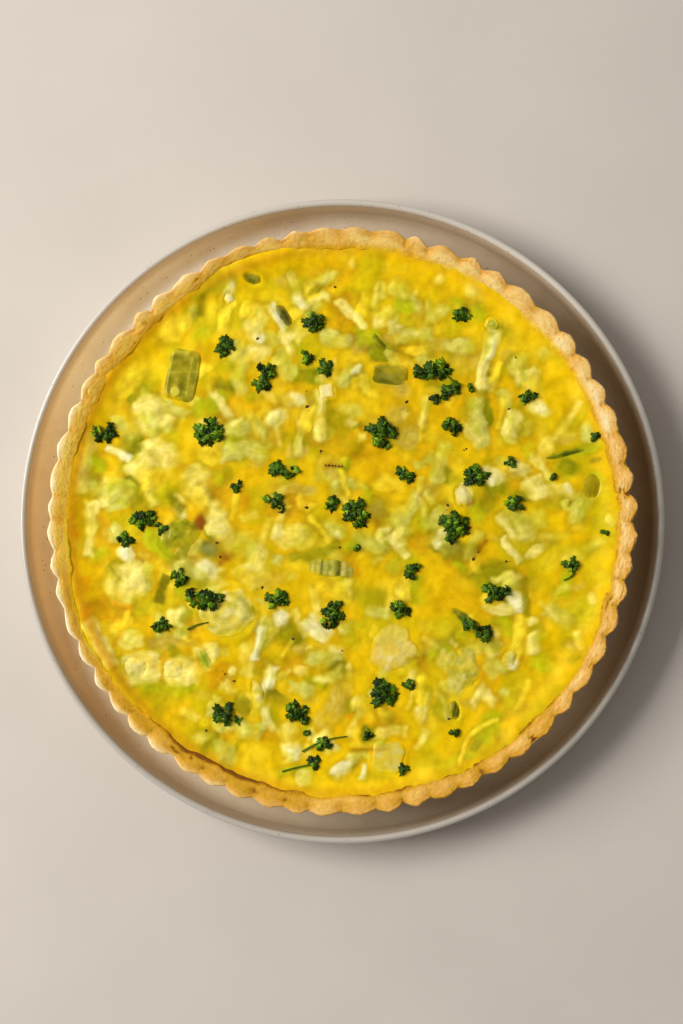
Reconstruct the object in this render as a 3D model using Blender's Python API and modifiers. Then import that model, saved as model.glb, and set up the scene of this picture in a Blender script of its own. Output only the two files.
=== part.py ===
"""A round leek quiche in its fluted pastry case, standing in a shallow stoneware dish.

Metres, +Z up. The origin is under the middle of the dish's foot, and the table is at z = 0.
Every object that isn't a cutter is one solid: the dish, the pastry case, the set egg filling,
and the leek and cheese pieces that lie half sunk in pockets in the filling's top.
"""

import math

import bmesh
import bpy
from mathutils import Euler, Matrix, Vector, noise

GAP = 0.0003  # clearance between solids that touch in the real thing

# The dish: a flat plate with a steep low wall and a foot ring.
DISH_RADIUS = 0.1396
DISH_HEIGHT = 0.0240
DISH_LIP = 0.0036  # thickness of the wall at its rounded lip
DISH_FLOOR = 0.0070  # height of the floor's upper face
DISH_UNDERSIDE = 0.0025  # height of the lower face inside the foot ring
WELL_RADIUS = 0.1265  # where the flat floor ends and the curve up into the wall begins
WALL_FOOT = 0.1345  # inner radius of the wall just above that curve
FOOT_RADIUS = 0.0920
FOOT_WIDTH = 0.0060
FOOT_SLANT = 0.0010  # how far each side of the foot ring leans out from its bottom to its top
DISH_BELLY = [  # the outside below the lip: distance in from DISH_RADIUS, and height
    (0.0010, 0.0132),
    (0.0050, 0.0065),
    (0.0140, 0.0037),
]
DISH_STEPS = 72

# The pastry case: fluted outside, plain inside.
CASE_RADIUS = 0.1250  # over the flutes' crests, at the top edge
CASE_HEIGHT = 0.0320
CASE_DRAFT = 0.0060  # radius lost from the top edge down to the base
CASE_BASE = 0.0050  # thickness under the filling
CASE_EDGE = 0.0012  # rounding of the top and bottom edges
EDGE_SWAY = 0.0009  # how far the hand-trimmed top edge rises and dips
EDGE_SWAY_SCALE = 2.6  # how quickly it does so round the case
FLUTES = 60
FLUTE_DEPTH = 0.0030
FLUTE_PINCH = 0.6  # 0 is a plain wave, and 1 is half-round crests that meet in sharp valleys
STEPS_PER_FLUTE = 4

# The filling, inside the case.
FILL_RADIUS = 0.1156  # at its surface
FILL_TAPER = 0.0050  # radius lost from the surface down to the base
FILL_DROP = 0.0043  # mean depth of the surface below the case's top edge
FILL_SWELL = 0.0007  # how far the surface rises and dips
FILL_SWELL_SCALE = 32.0  # how quickly it does so across a metre
FILL_STEPS = 60
FILL_RINGS = 6

# How far a piece stands out of the filling.
PROUD = 0.0010

CASE_FLOOR = DISH_FLOOR + GAP
CASE_TOP = CASE_FLOOR + CASE_HEIGHT
FILL_TOP = CASE_TOP - FILL_DROP
FILL_FLOOR = CASE_FLOOR + CASE_BASE

# Leek and cheese pieces in the surface: kind, x, y, length, width, thickness (all in mm), and the
# turn of the length from +X in degrees.
PIECES = {
    "leek_slab_1": ("slab", -67.8, 62.5, 24.7, 14.5, 4.0, 80),
    "leek_slab_2": ("slab", 20.5, 62.5, 18.0, 10.0, 4.0, -4),
    "leek_slab_3": ("slab", -68.7, -5.8, 19.0, 16.0, 3.5, 60),
    "leek_slab_4": ("slab", -4.7, -19.8, 21.0, 8.5, 4.5, -5),
    "leek_slab_5": ("slab", 19.6, -100.5, 15.0, 14.5, 3.0, -8),
    "leek_disc_1": ("disc", -49.5, -38.6, 27.0, 25.5, 5.0, 15),
    "leek_disc_2": ("disc", 64.0, 84.3, 9.5, 8.5, 4.0, 0),
    "leek_disc_3": ("disc", -72.0, -63.0, 11.0, 10.0, 4.5, 0),
    "leek_disc_4": ("disc", -88.0, -62.0, 12.5, 11.5, 4.5, 0),
    "leek_oval_1": ("lump", 106.6, 15.0, 14.0, 8.6, 4.0, 86),
    "leek_oval_2": ("lump", 48.2, -80.8, 10.5, 5.6, 3.6, 95),
    "leek_oval_3": ("lump", -38.4, 103.6, 11.0, 6.0, 3.6, -14),
    "leek_leaf_1": ("slab", 53.8, -42.9, 24.0, 6.0, 1.8, -40),
    "leek_leaf_2": ("slab", 95.5, 29.0, 21.0, 3.0, 1.6, 14),
    "leek_leaf_3": ("slab", -24.7, 88.0, 13.5, 5.0, 1.8, -58),
    "leek_leaf_4": ("slab", 16.0, 76.6, 12.0, 3.0, 1.6, -50),
    "leek_leaf_5": ("slab", -58.5, -59.0, 12.0, 6.0, 1.8, 115),
    "leek_heart_1": ("lump", 51.2, -62.5, 24.0, 19.0, 6.0, 105),
    "leek_heart_2": ("lump", -36.0, -72.3, 13.0, 6.5, 4.5, 105),
    "leek_heart_3": ("lump", 71.3, -58.2, 10.5, 8.0, 4.0, 60),
    "cheese_lump_1": ("lump", 21.8, -54.0, 25.0, 23.0, 6.0, 30),
    "cheese_lump_2": ("lump", 51.6, 10.5, 13.0, 9.0, 5.0, 110),
    "cheese_lump_3": ("lump", -48.0, 95.0, 6.5, 5.5, 4.0, 0),
    "cheese_cube_1": ("slab", -6.4, 55.7, 7.2, 7.0, 4.5, 8),
}

PIECE_EDGE = 0.0007  # bevel on slabs and discs
DISC_STEPS = 16
MM = 0.001
SHARP_ANGLE = math.radians(40)
NOISE_REACH = 1.6  # brings Blender's noise out to about -1 to 1

# Base colour and roughness of each finish, by the first word or words of the object's name.
FINISHES = {
    "dish": ((0.52, 0.46, 0.39), 0.35),
    "crust": ((0.80, 0.55, 0.22), 0.75),
    "filling": ((0.85, 0.62, 0.04), 0.40),
    "leek_slab": ((0.38, 0.40, 0.04), 0.40),
    "leek_disc": ((0.80, 0.72, 0.22), 0.40),
    "leek_oval": ((0.24, 0.26, 0.03), 0.35),
    "leek_leaf": ((0.12, 0.18, 0.03), 0.45),
    "leek_heart": ((0.66, 0.62, 0.25), 0.40),
    "cheese": ((0.85, 0.72, 0.28), 0.45),
}


def clear_scene():
    """Removes every object, so that the script starts from an empty scene."""
    for obj in list(bpy.data.objects):
        bpy.data.objects.remove(obj, do_unlink=True)


def new_collection(name):
    collection = bpy.data.collections.new(name)
    bpy.context.scene.collection.children.link(collection)
    return collection


def finish_for(name):
    """The material whose key in FINISHES starts the object's name."""
    key = max((k for k in FINISHES if name.startswith(k)), key=len)
    found = bpy.data.materials.get(key)
    if found:
        return found
    colour, roughness = FINISHES[key]
    material = bpy.data.materials.new(key)
    material.use_nodes = True
    shader = material.node_tree.nodes["Principled BSDF"]
    shader.inputs["Base Color"].default_value = (*colour, 1.0)
    shader.inputs["Roughness"].default_value = roughness
    shader.inputs["Metallic"].default_value = 0.0
    material.diffuse_color = (*colour, 1.0)
    return material


def add_object(name, mesh, collection):
    obj = bpy.data.objects.new(name, mesh)
    collection.objects.link(obj)
    return obj


def arc(centre_x, centre_z, radius, start, end, steps):
    """Points along an arc in the XZ plane, from start to end in degrees."""
    angles = [math.radians(start + (end - start) * i / steps) for i in range(steps + 1)]
    return [(centre_x + radius * math.cos(a), centre_z + radius * math.sin(a)) for a in angles]


def turned_mesh(name, profile, steps):
    """A solid of revolution about Z. The profile runs from the axis out, and down its outer side."""
    guide = bpy.data.meshes.new(name + "_profile")
    points = [(x, 0.0, z) for x, z in profile]
    guide.from_pydata(points, [(i, i + 1) for i in range(len(points) - 1)], [])
    obj = add_object(name + "_profile", guide, bpy.context.scene.collection)
    turn = obj.modifiers.new("Turn", "SCREW")
    turn.steps = steps
    turn.render_steps = steps
    turn.use_merge_vertices = True
    turn.merge_threshold = 0.00001
    graph = bpy.context.evaluated_depsgraph_get()
    mesh = bpy.data.meshes.new_from_object(obj.evaluated_get(graph))
    mesh.name = name
    bpy.data.objects.remove(obj)
    bpy.data.meshes.remove(guide)
    return mesh


def add_cut(obj, cutter):
    """Cuts a helper object out of obj, and hides the helper."""
    cut = obj.modifiers.new("Cut " + cutter.name, "BOOLEAN")
    cut.operation = "DIFFERENCE"
    cut.solver = "EXACT"
    cut.object = cutter
    cutter.hide_render = True
    cutter.display_type = "WIRE"


def dish_profile():
    """Half of the dish's section, from the middle of the floor round to the underside's middle."""
    lip = DISH_LIP / 2
    lip_height = DISH_HEIGHT - lip
    lip_centre = DISH_RADIUS - lip
    curve = WALL_FOOT - WELL_RADIUS
    foot_inside = FOOT_RADIUS - FOOT_WIDTH
    return [
        (0.0, DISH_FLOOR),
        *arc(WELL_RADIUS, DISH_FLOOR + curve, curve, -90, 0, 5),
        *arc(lip_centre, lip_height, lip, 180, 0, 6),
        *[(DISH_RADIUS - inset, height) for inset, height in DISH_BELLY],
        (FOOT_RADIUS + FOOT_SLANT, DISH_UNDERSIDE),
        (FOOT_RADIUS, 0.0),
        (foot_inside, 0.0),
        (foot_inside - FOOT_SLANT, DISH_UNDERSIDE),
        (0.0, DISH_UNDERSIDE),
    ]


def make_dish(parts):
    dish = add_object("dish", turned_mesh("dish", dish_profile(), DISH_STEPS), parts)
    dish.data.shade_smooth()
    dish.data.set_sharp_from_angle(angle=SHARP_ANGLE)


def flute(angle):
    """Depth of the fluted outline below its crests at this angle, from 0 to 1."""
    crest = abs(math.cos(FLUTES * angle / 2))
    wave = 0.5 + 0.5 * math.cos(FLUTES * angle)
    return 1.0 - FLUTE_PINCH * crest - (1.0 - FLUTE_PINCH) * wave


def edge_height(angle):
    """Rise of the case's hand-trimmed top edge above its mean height."""
    place = Vector((math.cos(angle), math.sin(angle), 0.0)) * EDGE_SWAY_SCALE
    return EDGE_SWAY * NOISE_REACH * noise.noise(place)


def make_crust(parts, cutters):
    """The fluted block, ring by ring from the bottom up, less the turned space for the filling."""
    top = CASE_RADIUS
    base = CASE_RADIUS - CASE_DRAFT
    rings = [
        (CASE_FLOOR, base - CASE_EDGE),
        (CASE_FLOOR + CASE_EDGE, base),
        (CASE_TOP - CASE_EDGE, top),
        (CASE_TOP, top - CASE_EDGE),
    ]
    mesh = bpy.data.meshes.new("crust")
    bm = bmesh.new()
    bmesh.ops.create_circle(bm, cap_ends=True, segments=FLUTES * STEPS_PER_FLUTE, radius=base)
    cap = bm.faces[:]
    for level, (height, radius) in enumerate(rings):
        if level:
            made = bmesh.ops.extrude_face_region(bm, geom=cap)
            bmesh.ops.delete(bm, geom=cap, context="FACES_ONLY")
            cap = [f for f in made["geom"] if isinstance(f, bmesh.types.BMFace)]
        for vertex in cap[0].verts:
            angle = math.atan2(vertex.co.y, vertex.co.x)
            at = radius - FLUTE_DEPTH * flute(angle)
            lift = edge_height(angle) if height > CASE_FLOOR + CASE_HEIGHT / 2 else 0.0
            vertex.co = Vector((at * math.cos(angle), at * math.sin(angle), height + lift))
        if not level:
            cap = bmesh.ops.duplicate(bm, geom=cap)["geom"]
            cap = [f for f in cap if isinstance(f, bmesh.types.BMFace)]
    bmesh.ops.remove_doubles(bm, verts=bm.verts, dist=0.000001)
    bmesh.ops.recalc_face_normals(bm, faces=bm.faces)
    bm.to_mesh(mesh)
    bm.free()
    crust = add_object("crust", mesh, parts)
    above = CASE_TOP + 2 * EDGE_SWAY + CASE_EDGE
    flare = FILL_TAPER * (above - FILL_TOP) / (FILL_TOP - FILL_FLOOR)
    well = [
        (0.0, above),
        (FILL_RADIUS + flare, above),
        (FILL_RADIUS - FILL_TAPER, FILL_FLOOR),
        (0.0, FILL_FLOOR),
    ]
    cutter = add_object("filling_space", turned_mesh("filling_space", well, FILL_STEPS), cutters)
    add_cut(crust, cutter)


def swell(x, y):
    """Height of the filling's surface above its mean, at a place given in metres."""
    return FILL_SWELL * noise.noise(Vector((x, y, 0.0)) * FILL_SWELL_SCALE)


def filling_mesh():
    """The turned body of the filling, with its upper face raised and dipped by swell."""
    across = FILL_RADIUS - GAP
    surface = [(across * i / FILL_RINGS, FILL_TOP) for i in range(FILL_RINGS + 1)]
    floor = FILL_FLOOR + GAP
    mesh = turned_mesh("filling", [*surface, (across - FILL_TAPER, floor), (0.0, floor)], FILL_STEPS)
    for vertex in mesh.vertices:
        if vertex.co.z > FILL_TOP - GAP:
            vertex.co.z += swell(vertex.co.x, vertex.co.y)
    return mesh


def piece_mesh(name, kind, size, spare=0.0):
    """A slab, disc or lump centred on the origin. spare makes it that much bigger all round."""
    length, width, thickness = (side + 2 * spare for side in size)
    mesh = bpy.data.meshes.new(name)
    bm = bmesh.new()
    if kind == "slab":
        bmesh.ops.create_cube(bm, size=1.0)
    elif kind == "disc":
        bmesh.ops.create_cone(bm, cap_ends=True, segments=DISC_STEPS, radius1=0.5, radius2=0.5, depth=1.0)
    else:
        bmesh.ops.create_icosphere(bm, subdivisions=2, radius=0.5)
    bmesh.ops.scale(bm, vec=(length, width, thickness), verts=bm.verts)
    if kind != "lump":
        rims = [e for e in bm.edges if e.calc_face_angle(0.0) > SHARP_ANGLE]
        bmesh.ops.bevel(bm, geom=rims, offset=PIECE_EDGE, segments=1, profile=0.5, affect="EDGES")
    bm.to_mesh(mesh)
    bm.free()
    return mesh


def place_piece(obj, x, y, thickness, turn):
    """Sets a piece so that its top stands PROUD above the filling, turned about the vertical."""
    height = FILL_TOP + swell(x, y) + PROUD - thickness / 2
    turned = Euler((0.0, 0.0, math.radians(turn))).to_matrix().to_4x4()
    obj.matrix_world = Matrix.Translation((x, y, height)) @ turned


def make_filling(parts, cutters):
    """The filling, and each piece of PIECES in a pocket cut GAP wider than the piece."""
    filling = add_object("filling", filling_mesh(), parts)
    for name, (kind, x, y, *sides, turn) in PIECES.items():
        size = [side * MM for side in sides]
        piece = add_object(name, piece_mesh(name, kind, size), parts)
        place_piece(piece, x * MM, y * MM, size[2], turn)
        pocket_name = name + "_pocket"
        pocket = add_object(pocket_name, piece_mesh(pocket_name, kind, size, GAP), cutters)
        place_piece(pocket, x * MM, y * MM, size[2], turn)
        add_cut(filling, pocket)


def main():
    clear_scene()
    parts = new_collection("quiche")
    cutters = new_collection("cutters")
    make_dish(parts)
    make_crust(parts, cutters)
    make_filling(parts, cutters)
    for obj in parts.objects:
        obj.data.materials.append(finish_for(obj.name))


main()
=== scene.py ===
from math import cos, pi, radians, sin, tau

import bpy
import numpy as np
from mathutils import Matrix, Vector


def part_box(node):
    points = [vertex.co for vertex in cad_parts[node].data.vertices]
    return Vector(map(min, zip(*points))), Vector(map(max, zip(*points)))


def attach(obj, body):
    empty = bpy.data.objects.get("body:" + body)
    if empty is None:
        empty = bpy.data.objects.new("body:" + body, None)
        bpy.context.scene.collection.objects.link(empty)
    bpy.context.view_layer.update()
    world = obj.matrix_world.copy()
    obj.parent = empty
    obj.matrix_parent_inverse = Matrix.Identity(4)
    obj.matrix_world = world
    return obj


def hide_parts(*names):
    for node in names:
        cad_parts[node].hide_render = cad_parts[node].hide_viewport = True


bl_info = {
    "name": "Leek Quiche",
    "version": (1, 0, 0),
    "blender": (4, 5, 0),
    "location": "View3D > Sidebar > Quiche",
    "description": "The finish of a leek quiche baked in a fluted pastry case, in its stoneware dish",
    "category": "Object",
}

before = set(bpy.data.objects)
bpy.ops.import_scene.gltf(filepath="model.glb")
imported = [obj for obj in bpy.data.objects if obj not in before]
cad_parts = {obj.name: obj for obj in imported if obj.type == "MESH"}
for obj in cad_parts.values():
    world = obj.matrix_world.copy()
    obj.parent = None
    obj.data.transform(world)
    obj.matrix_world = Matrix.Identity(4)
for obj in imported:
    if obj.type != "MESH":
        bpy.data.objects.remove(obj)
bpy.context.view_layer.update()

# Shapes are worked out in millimetres and made in metres.
MM = 0.001
BODY = "root"

# What the solids give: every size below starts from these.
DISH_LOW, DISH_HIGH = (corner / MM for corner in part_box("dish"))
CRUST_LOW, CRUST_HIGH = (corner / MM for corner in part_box("crust"))
FILL_LOW, FILL_HIGH = (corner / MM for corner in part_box("filling"))
DISH_RADIUS = DISH_HIGH.x
CRUST_RADIUS = CRUST_HIGH.x
FILL_RADIUS = FILL_HIGH.x
PROUD = 0.42  # how far the leek and cheese stand out of the custard

# 8-bit colours of what shows in the custard.
COLOURS = {
    "deep": (214, 162, 0),
    "tan": (206, 178, 62),
    "olive": (134, 124, 0),
    "green": (148, 144, 0),
    "lime": (182, 184, 8),
    "pale": (210, 202, 88),
    "cream": (240, 223, 118),
    "bright": (248, 216, 46),
    "white": (236, 228, 164),
    "grey": (139, 141, 64),
    "amber": (226, 154, 0),
    "brown": (150, 85, 6),
    "yolk": (238, 197, 0),
}

# How far a patch of each colour stands out of the custard, in mm, from the lowest layer to the highest.
RISE = {
    "deep": -0.35, "tan": 0.4, "green": 0.3, "lime": 0.5, "pale": 0.9,
    "cream": 0.95, "bright": 0.7, "white": 0.9, "grey": 0.5, "olive": -0.1, "amber": 0.1, "brown": -0.2,
}

# Leek and cheese that lie under a film of custard, and a few patches of painted shade, laid down in the order
# of RISE: outline, x and y of the middle, length, width in mm, turn in degrees, and how clearly it shows.
VEILED = {
    "deep": (
        ("oval", -62, 55, 6, 12, 0, 0.3), ("oval", -48, 42, 8, 14, 20, 0.35),
        ("oval", 2, 84, 12, 12, 0, 0.35), ("oval", 8, 93, 6, 8, 0, 0.2), ("oval", -52, 15, 12, 12, 0, 0.35),
        ("oval", -54, 13, 4, 3, 0, 0.5), ("oval", -101, -3, 6, 13, 15, 0.5),
        ("oval", -84, -13, 12, 10, -20, 0.35), ("oval", -20, 8, 16, 10, 0, 0.5),
        ("oval", 33, -8, 12, 10, 0, 0.4), ("oval", 0, 33, 30, 10, -10, 0.35),
        ("oval", -100, -38, 22, 10, 0, 0.6), ("slab", -77.5, -62, 10, 3, 85, 0.6),
        ("oval", -52, -66, 12, 10, 0, 0.5), ("oval", -47, -91, 8, 5, 0, 0.3),
        ("oval", -25, -62, 20, 8, 0, 0.4), ("oval", -33, -90, 8, 10, 0, 0.4),
        ("oval", 20, -82, 10, 6, 0, 0.3),
    ),
    "tan": (
        ("oval", 7, 76, 10, 7, -25, 0.5), ("oval", 32, 89, 7, 12, 10, 0.35),
        ("slab", 22, 78, 10, 5, 12, 0.5), ("oval", 24, 57, 12, 7, -30, 0.5),
        ("slab", 46, 75, 16, 6, -5, 0.45), ("oval", 57, 95, 9, 9, 0, 0.25), ("oval", 52, 68, 12, 9, 0, 0.4),
        ("oval", 78, 60, 8, 9, 20, 0.35), ("oval", 71, 70, 5, 8, 20, 0.3),
        ("oval", -19, 30, 10, 6, 10, 0.5), ("oval", 24, 45, 10, 9, 0, 0.45),
        ("oval", 29, 36, 10, 10, 0, 0.55), ("slab", 38, 13, 8, 6, 10, 0.4),
        ("oval", 14.5, 5.5, 8, 7, 0, 0.7), ("oval", -19, 14, 16, 5, 5, 0.5), ("oval", 74, 21, 8, 5, 0, 0.5),
        ("oval", 66, -7, 8, 3, -20, 0.3), ("oval", 87, -8, 10, 6, 0, 0.35),
        ("oval", -76, -51, 14, 6, 5, 0.5), ("oval", -58, -74, 8, 4, 0, 0.3),
        ("oval", -32, -26, 14, 6, 0, 0.4), ("oval", -18, -54, 7, 6, 20, 0.5),
        ("oval", 22, -20, 7, 6, 0, 0.4), ("oval", 38, -54, 8, 6, 40, 0.5),
        ("slab", -1, -74, 12, 7, 75, 0.55), ("slab", -6, -83, 12, 8, 60, 0.5),
        ("oval", 102, -27, 6, 4, 0, 0.4), ("oval", 98, -52, 4, 4, 0, 0.6), ("oval", 55, -77, 6, 4, 0, 0.4),
    ),
    "olive": (
        ("slab", -60, 92, 9, 2.6, 85, 0.55), ("slab", -50, 57.5, 7, 1.4, -12, 0.5),
        ("slab", -54, 60, 5, 1, -30, 0.4), ("oval", -11, 98.5, 9, 3, 20, 0.4),
        ("slab", 24, 72.5, 15, 0.7, -20, 0.6), ("slab", -71, 8, 9, 3.5, -50, 0.5),
        ("oval", 15.5, 6, 12, 11, 0, 0.2), ("oval", -12, -16, 6, 3, 0, 0.4),
        ("oval", 108, 26, 5, 2.5, 0, 0.35), ("oval", 62, 8, 8, 8, 0, 0.35),
        ("oval", 50, -12, 14, 8, 0, 0.35), ("slab", -97, -22, 8, 1, -55, 0.5),
        # The olive slab at -77, -29 is painted shadow at the lower right of a pale chunk.
        ("slab", -77, -29, 14, 4, 72, 0.65), ("oval", -27, -76, 14, 5, -30, 0.4),
        ("oval", -43, -78, 6, 10, 20, 0.4), ("slab", 10, -90, 7, 5, 50, 0.7),
        ("slab", 78, -32, 16, 3.5, -80, 0.35), ("oval", 62, -51, 10, 4, -20, 0.35),
    ),
    "green": (
        ("oval", -85, 54, 14, 9, 35, 0.4), ("slab", -50, 59, 9, 5, -15, 0.35),
        ("oval", -17, 62, 10, 7, 0, 0.4), ("oval", 68, 82, 9, 5, -30, 0.4),
        ("slab", 70, 66, 12, 3, 60, 0.3), ("oval", -90, 33, 11, 10, 10, 0.6),
        ("oval", -106, 17, 7, 4, 60, 0.5), ("slab", -88, 12, 16, 6, -70, 0.5),
        ("slab", -80, 9, 6, 3, 60, 0.45), ("oval", -71, -15, 8, 6, 0, 0.5), ("oval", -44, 38, 6, 6, 0, 0.3),
        ("oval", -3, 43, 8, 8, 0, 0.45), ("oval", 4, 40, 12, 3, 15, 0.35), ("oval", 6, 33, 8, 5, 0, 0.3),
        ("slab", -11, -13, 22, 4, 15, 0.4), ("oval", 96, 23, 10, 7, 0, 0.5), ("oval", 93, 8, 12, 7, 0, 0.4),
        ("oval", 66, 14, 10, 7, 0, 0.45), ("oval", 44, -10, 12, 8, 0, 0.35),
        ("oval", -98, -24, 10, 16, -20, 0.3), ("slab", -70, -57, 12, 4, -40, 0.5),
        ("slab", -46, -98, 12, 2, 60, 0.35), ("oval", -22, -48, 12, 10, -20, 0.55),
        ("oval", 12, -31, 14, 8, 0, 0.25), ("slab", -38, -64, 8, 3, 5, 0.35),
        ("oval", -31, -82, 8, 12, 20, 0.35), ("oval", 4, -78, 8, 6, 40, 0.35),
        ("oval", 42, -80, 6, 10, 0, 0.35), ("oval", 65, -24, 20, 14, 0, 0.45),
        ("slab", 99, -58, 6, 3, 45, 0.4), ("oval", 82, -46, 6, 5, 0, 0.3),
        ("slab", 58, -94, 10, 3, 55, 0.4),
    ),
    "lime": (
        ("slab", -58, 99, 16, 6, 25, 0.45), ("oval", -60, 79, 9, 6, 20, 0.35),
        ("oval", -18, 74, 9, 5, -40, 0.4), ("oval", 27, 92, 8, 7, 30, 0.65), ("oval", 48, 92, 9, 8, 0, 0.4),
        # The lime oval at 57, 89 is painted shade beside a parsley sprig.
        ("oval", 57, 89, 10, 8, 20, 0.45), ("oval", -105, 24, 8, 10, 20, 0.45),
        ("arc", -92, 17, 16, 2, -20, 0.5), ("oval", -104, -14, 8, 6, 0, 0.5),
        ("slab", -78, -10, 16, 7, -45, 0.5), ("oval", -45, 38, 8, 10, 0, 0.4),
        ("oval", 10, -10, 9, 6, 0, 0.35), ("oval", 38, -2, 8, 8, 0, 0.35),
        ("slab", 102, 45, 14, 2, 50, 0.4), ("slab", 105, 32, 12, 4, 20, 0.4),
        ("slab", 99, 29, 20, 3, 12, 0.4), ("slab", -94.5, -62, 9, 2.5, 85, 0.5),
        ("oval", -83, -70, 16, 5, -10, 0.5), ("oval", -70, -72, 16, 6, 10, 0.45),
        ("oval", -49, -103, 5, 3, 0, 0.4), ("oval", -10, -68, 12, 6, 0, 0.4),
        ("oval", -15, -90, 5, 6, 0, 0.5), ("slab", -20, -106, 15, 3, 8, 0.6),
        ("slab", 14, -93, 8, 4, -20, 0.5), ("oval", 93, -30, 8, 8, 0, 0.4), ("oval", 95, -24, 5, 6, 0, 0.5),
        ("oval", 103, -38, 12, 12, 0, 0.25), ("oval", 85, -60, 10, 8, 0, 0.35),
        ("slab", 62, -87, 16, 8, 55, 0.4), ("oval", 50, -101, 18, 4, 20, 0.4),
    ),
    "pale": (
        ("oval", -64, 89, 8, 6, 60, 0.4), ("slab", -72, 48, 16, 6, -30, 0.5),
        ("oval", -44, 70, 8, 14, 20, 0.4), ("oval", -8, 103, 12, 6.5, 15, 0.75),
        ("oval", -14, 91, 12, 6, 10, 0.6), ("oval", -32, 78, 10, 7, -20, 0.45),
        ("oval", -26, 69, 8, 10, 0, 0.45), ("slab", -3, 78, 13, 6.5, -12, 0.7),
        ("oval", 25, 99, 9, 8, 60, 0.5), ("slab", 37, 88, 14, 3, 82, 0.6), ("slab", 30, 79, 17, 5, 5, 0.75),
        ("slab", 3, 62, 11, 5, 50, 0.7), ("oval", -22, 64, 9, 7, 30, 0.45), ("oval", -11, 50, 6, 8, 0, 0.4),
        ("oval", 50, 75, 14, 6, -5, 0.5), ("oval", 86, 71, 7, 6, 0, 0.4), ("oval", 70, 53, 7, 8, 0, 0.5),
        ("oval", -95, 42, 8, 7, -30, 0.5), ("oval", -97, 12, 16, 14, 0, 0.6),
        ("oval", -97, -5, 7, 9, 0, 0.5), ("oval", -43, -10, 14, 10, 0, 0.5),
        ("oval", -47, 30, 12, 8, 0, 0.5), ("slab", -33, 37, 14, 3, -65, 0.5),
        ("slab", -38, 30, 12, 8, -15, 0.5), ("oval", -8, 37, 8, 8, 0, 0.4), ("oval", 3, 47, 9, 6, 0, 0.4),
        ("slab", 35, 26, 10, 4, 30, 0.4), ("slab", 42, 25, 18, 5, 80, 0.5),
        ("oval", -3, -3, 10, 7, -50, 0.7), ("oval", 12, -9, 14, 8, -20, 0.5),
        ("slab", 29, 6, 14, 6, 60, 0.45), ("oval", 24, 0, 10, 10, 0, 0.4),
        ("slab", 58, 42, 22, 7, -80, 0.6), ("oval", 72, 38, 6, 8, 0, 0.4), ("oval", 79, 41, 5, 6, 0, 0.3),
        ("oval", 104, 38, 6, 9, -10, 0.5), ("oval", 88, 18, 6, 6, 0, 0.4),
        ("slab", 101, 5, 14, 7, 70, 0.55), ("slab", 73, 1, 12, 6, -45, 0.5),
        ("oval", 78, -3, 9, 12, 20, 0.4), ("slab", 56, -8, 10, 4, 65, 0.7),
        ("oval", 108, -10, 10, 5, 30, 0.3), ("slab", -88, -23, 13, 12, 0, 0.55),
        ("slab", -68, -43, 14, 5, 80, 0.6), ("oval", -50, -98, 12, 9, -30, 0.4),
        ("slab", -34, -44, 8, 5, 60, 0.5), ("slab", -32, -49, 14, 6, 60, 0.4),
        ("oval", -8, -58, 16, 7, 8, 0.7), ("slab", -18, -71, 10, 6, -10, 0.5),
        ("slab", 36, -79, 12, 2.4, 82, 0.6), ("slab", 92, -40, 14, 7, -30, 0.4),
        ("oval", 64, -62, 6, 10, 0, 0.4),
    ),
    "cream": (
        ("slab", -80, 45, 18, 12, -55, 0.6), ("slab", -52, 50, 14, 3.5, -58, 0.6),
        ("slab", -14, 99.5, 5, 2, 40, 0.4), ("arc", -12, 95, 14, 3.5, 20, 0.75),
        ("slab", -20, 100, 14, 3, -70, 0.5), ("oval", -36, 86, 13, 9, 45, 0.6),
        ("arc", -38, 91, 14, 2, 25, 0.4), ("slab", -24, 76, 10, 4, -60, 0.5),
        ("oval", -36, 72, 10, 8, 0, 0.45), ("slab", 4, 89, 16, 3.5, -48, 0.6),
        ("slab", 15, 97, 12, 3, 80, 0.45), ("slab", 18, 99, 8, 2.5, 85, 0.4),
        ("oval", 18, 87, 11, 8, 20, 0.6), ("slab", 9, 61, 12, 3, -75, 0.5),
        ("slab", -31, 54, 10, 3, -50, 0.5), ("slab", 21, 60, 8, 2.5, -20, 0.5),
        ("oval", 42, 103, 5, 5, 0, 0.4), ("oval", 4, 110, 2.5, 4, 0, 0.5), ("oval", 55, 99, 5, 6, 0, 0.3),
        ("slab", 62, 70, 26, 5, 75, 0.65), ("oval", 62, 58, 9, 5, 0, 0.5),
        ("oval", -82, 44, 12, 14, 20, 0.5), ("oval", -80, 32, 14, 8, 0, 0.5),
        ("oval", -75, 27, 12, 12, 20, 0.45), ("slab", -109, 25, 26, 5, 80, 0.35),
        ("slab", -55, 7, 16, 5, -48, 0.65), ("oval", -62, 17, 12, 14, 20, 0.5),
        ("oval", -103, 8, 8, 5, 30, 0.5), ("slab", -82, 14, 16, 4, -75, 0.6),
        ("oval", -53, -2, 14, 10, -45, 0.6), ("slab", -107, -3, 24, 5, 85, 0.5),
        ("oval", -28, 44, 9, 8, 30, 0.6), ("slab", -27, 37, 10, 2.5, -80, 0.4),
        ("slab", -18, 36, 16, 3, 85, 0.5), ("slab", -9, 45, 22, 4, 88, 0.55),
        ("slab", 35, 47, 14, 4, 70, 0.4), ("slab", 33, 14, 10, 3, 80, 0.4),
        ("slab", -27, 0, 16, 3.5, 75, 0.5), ("slab", -33, -5, 14, 3, 70, 0.4),
        ("oval", -20, -6, 16, 12, 0, 0.35), ("oval", 18, -5, 6, 7, 20, 0.7),
        ("slab", 24, -11, 13, 3, -50, 0.6), ("slab", 35, 3, 14, 2.5, -80, 0.35),
        ("slab", 55, 37, 10, 4, -60, 0.4), ("slab", 73, 42, 12, 6, 75, 0.5),
        ("slab", 96, 43, 20, 3, 55, 0.45), ("slab", 83, 26, 8, 4, -30, 0.5),
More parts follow.
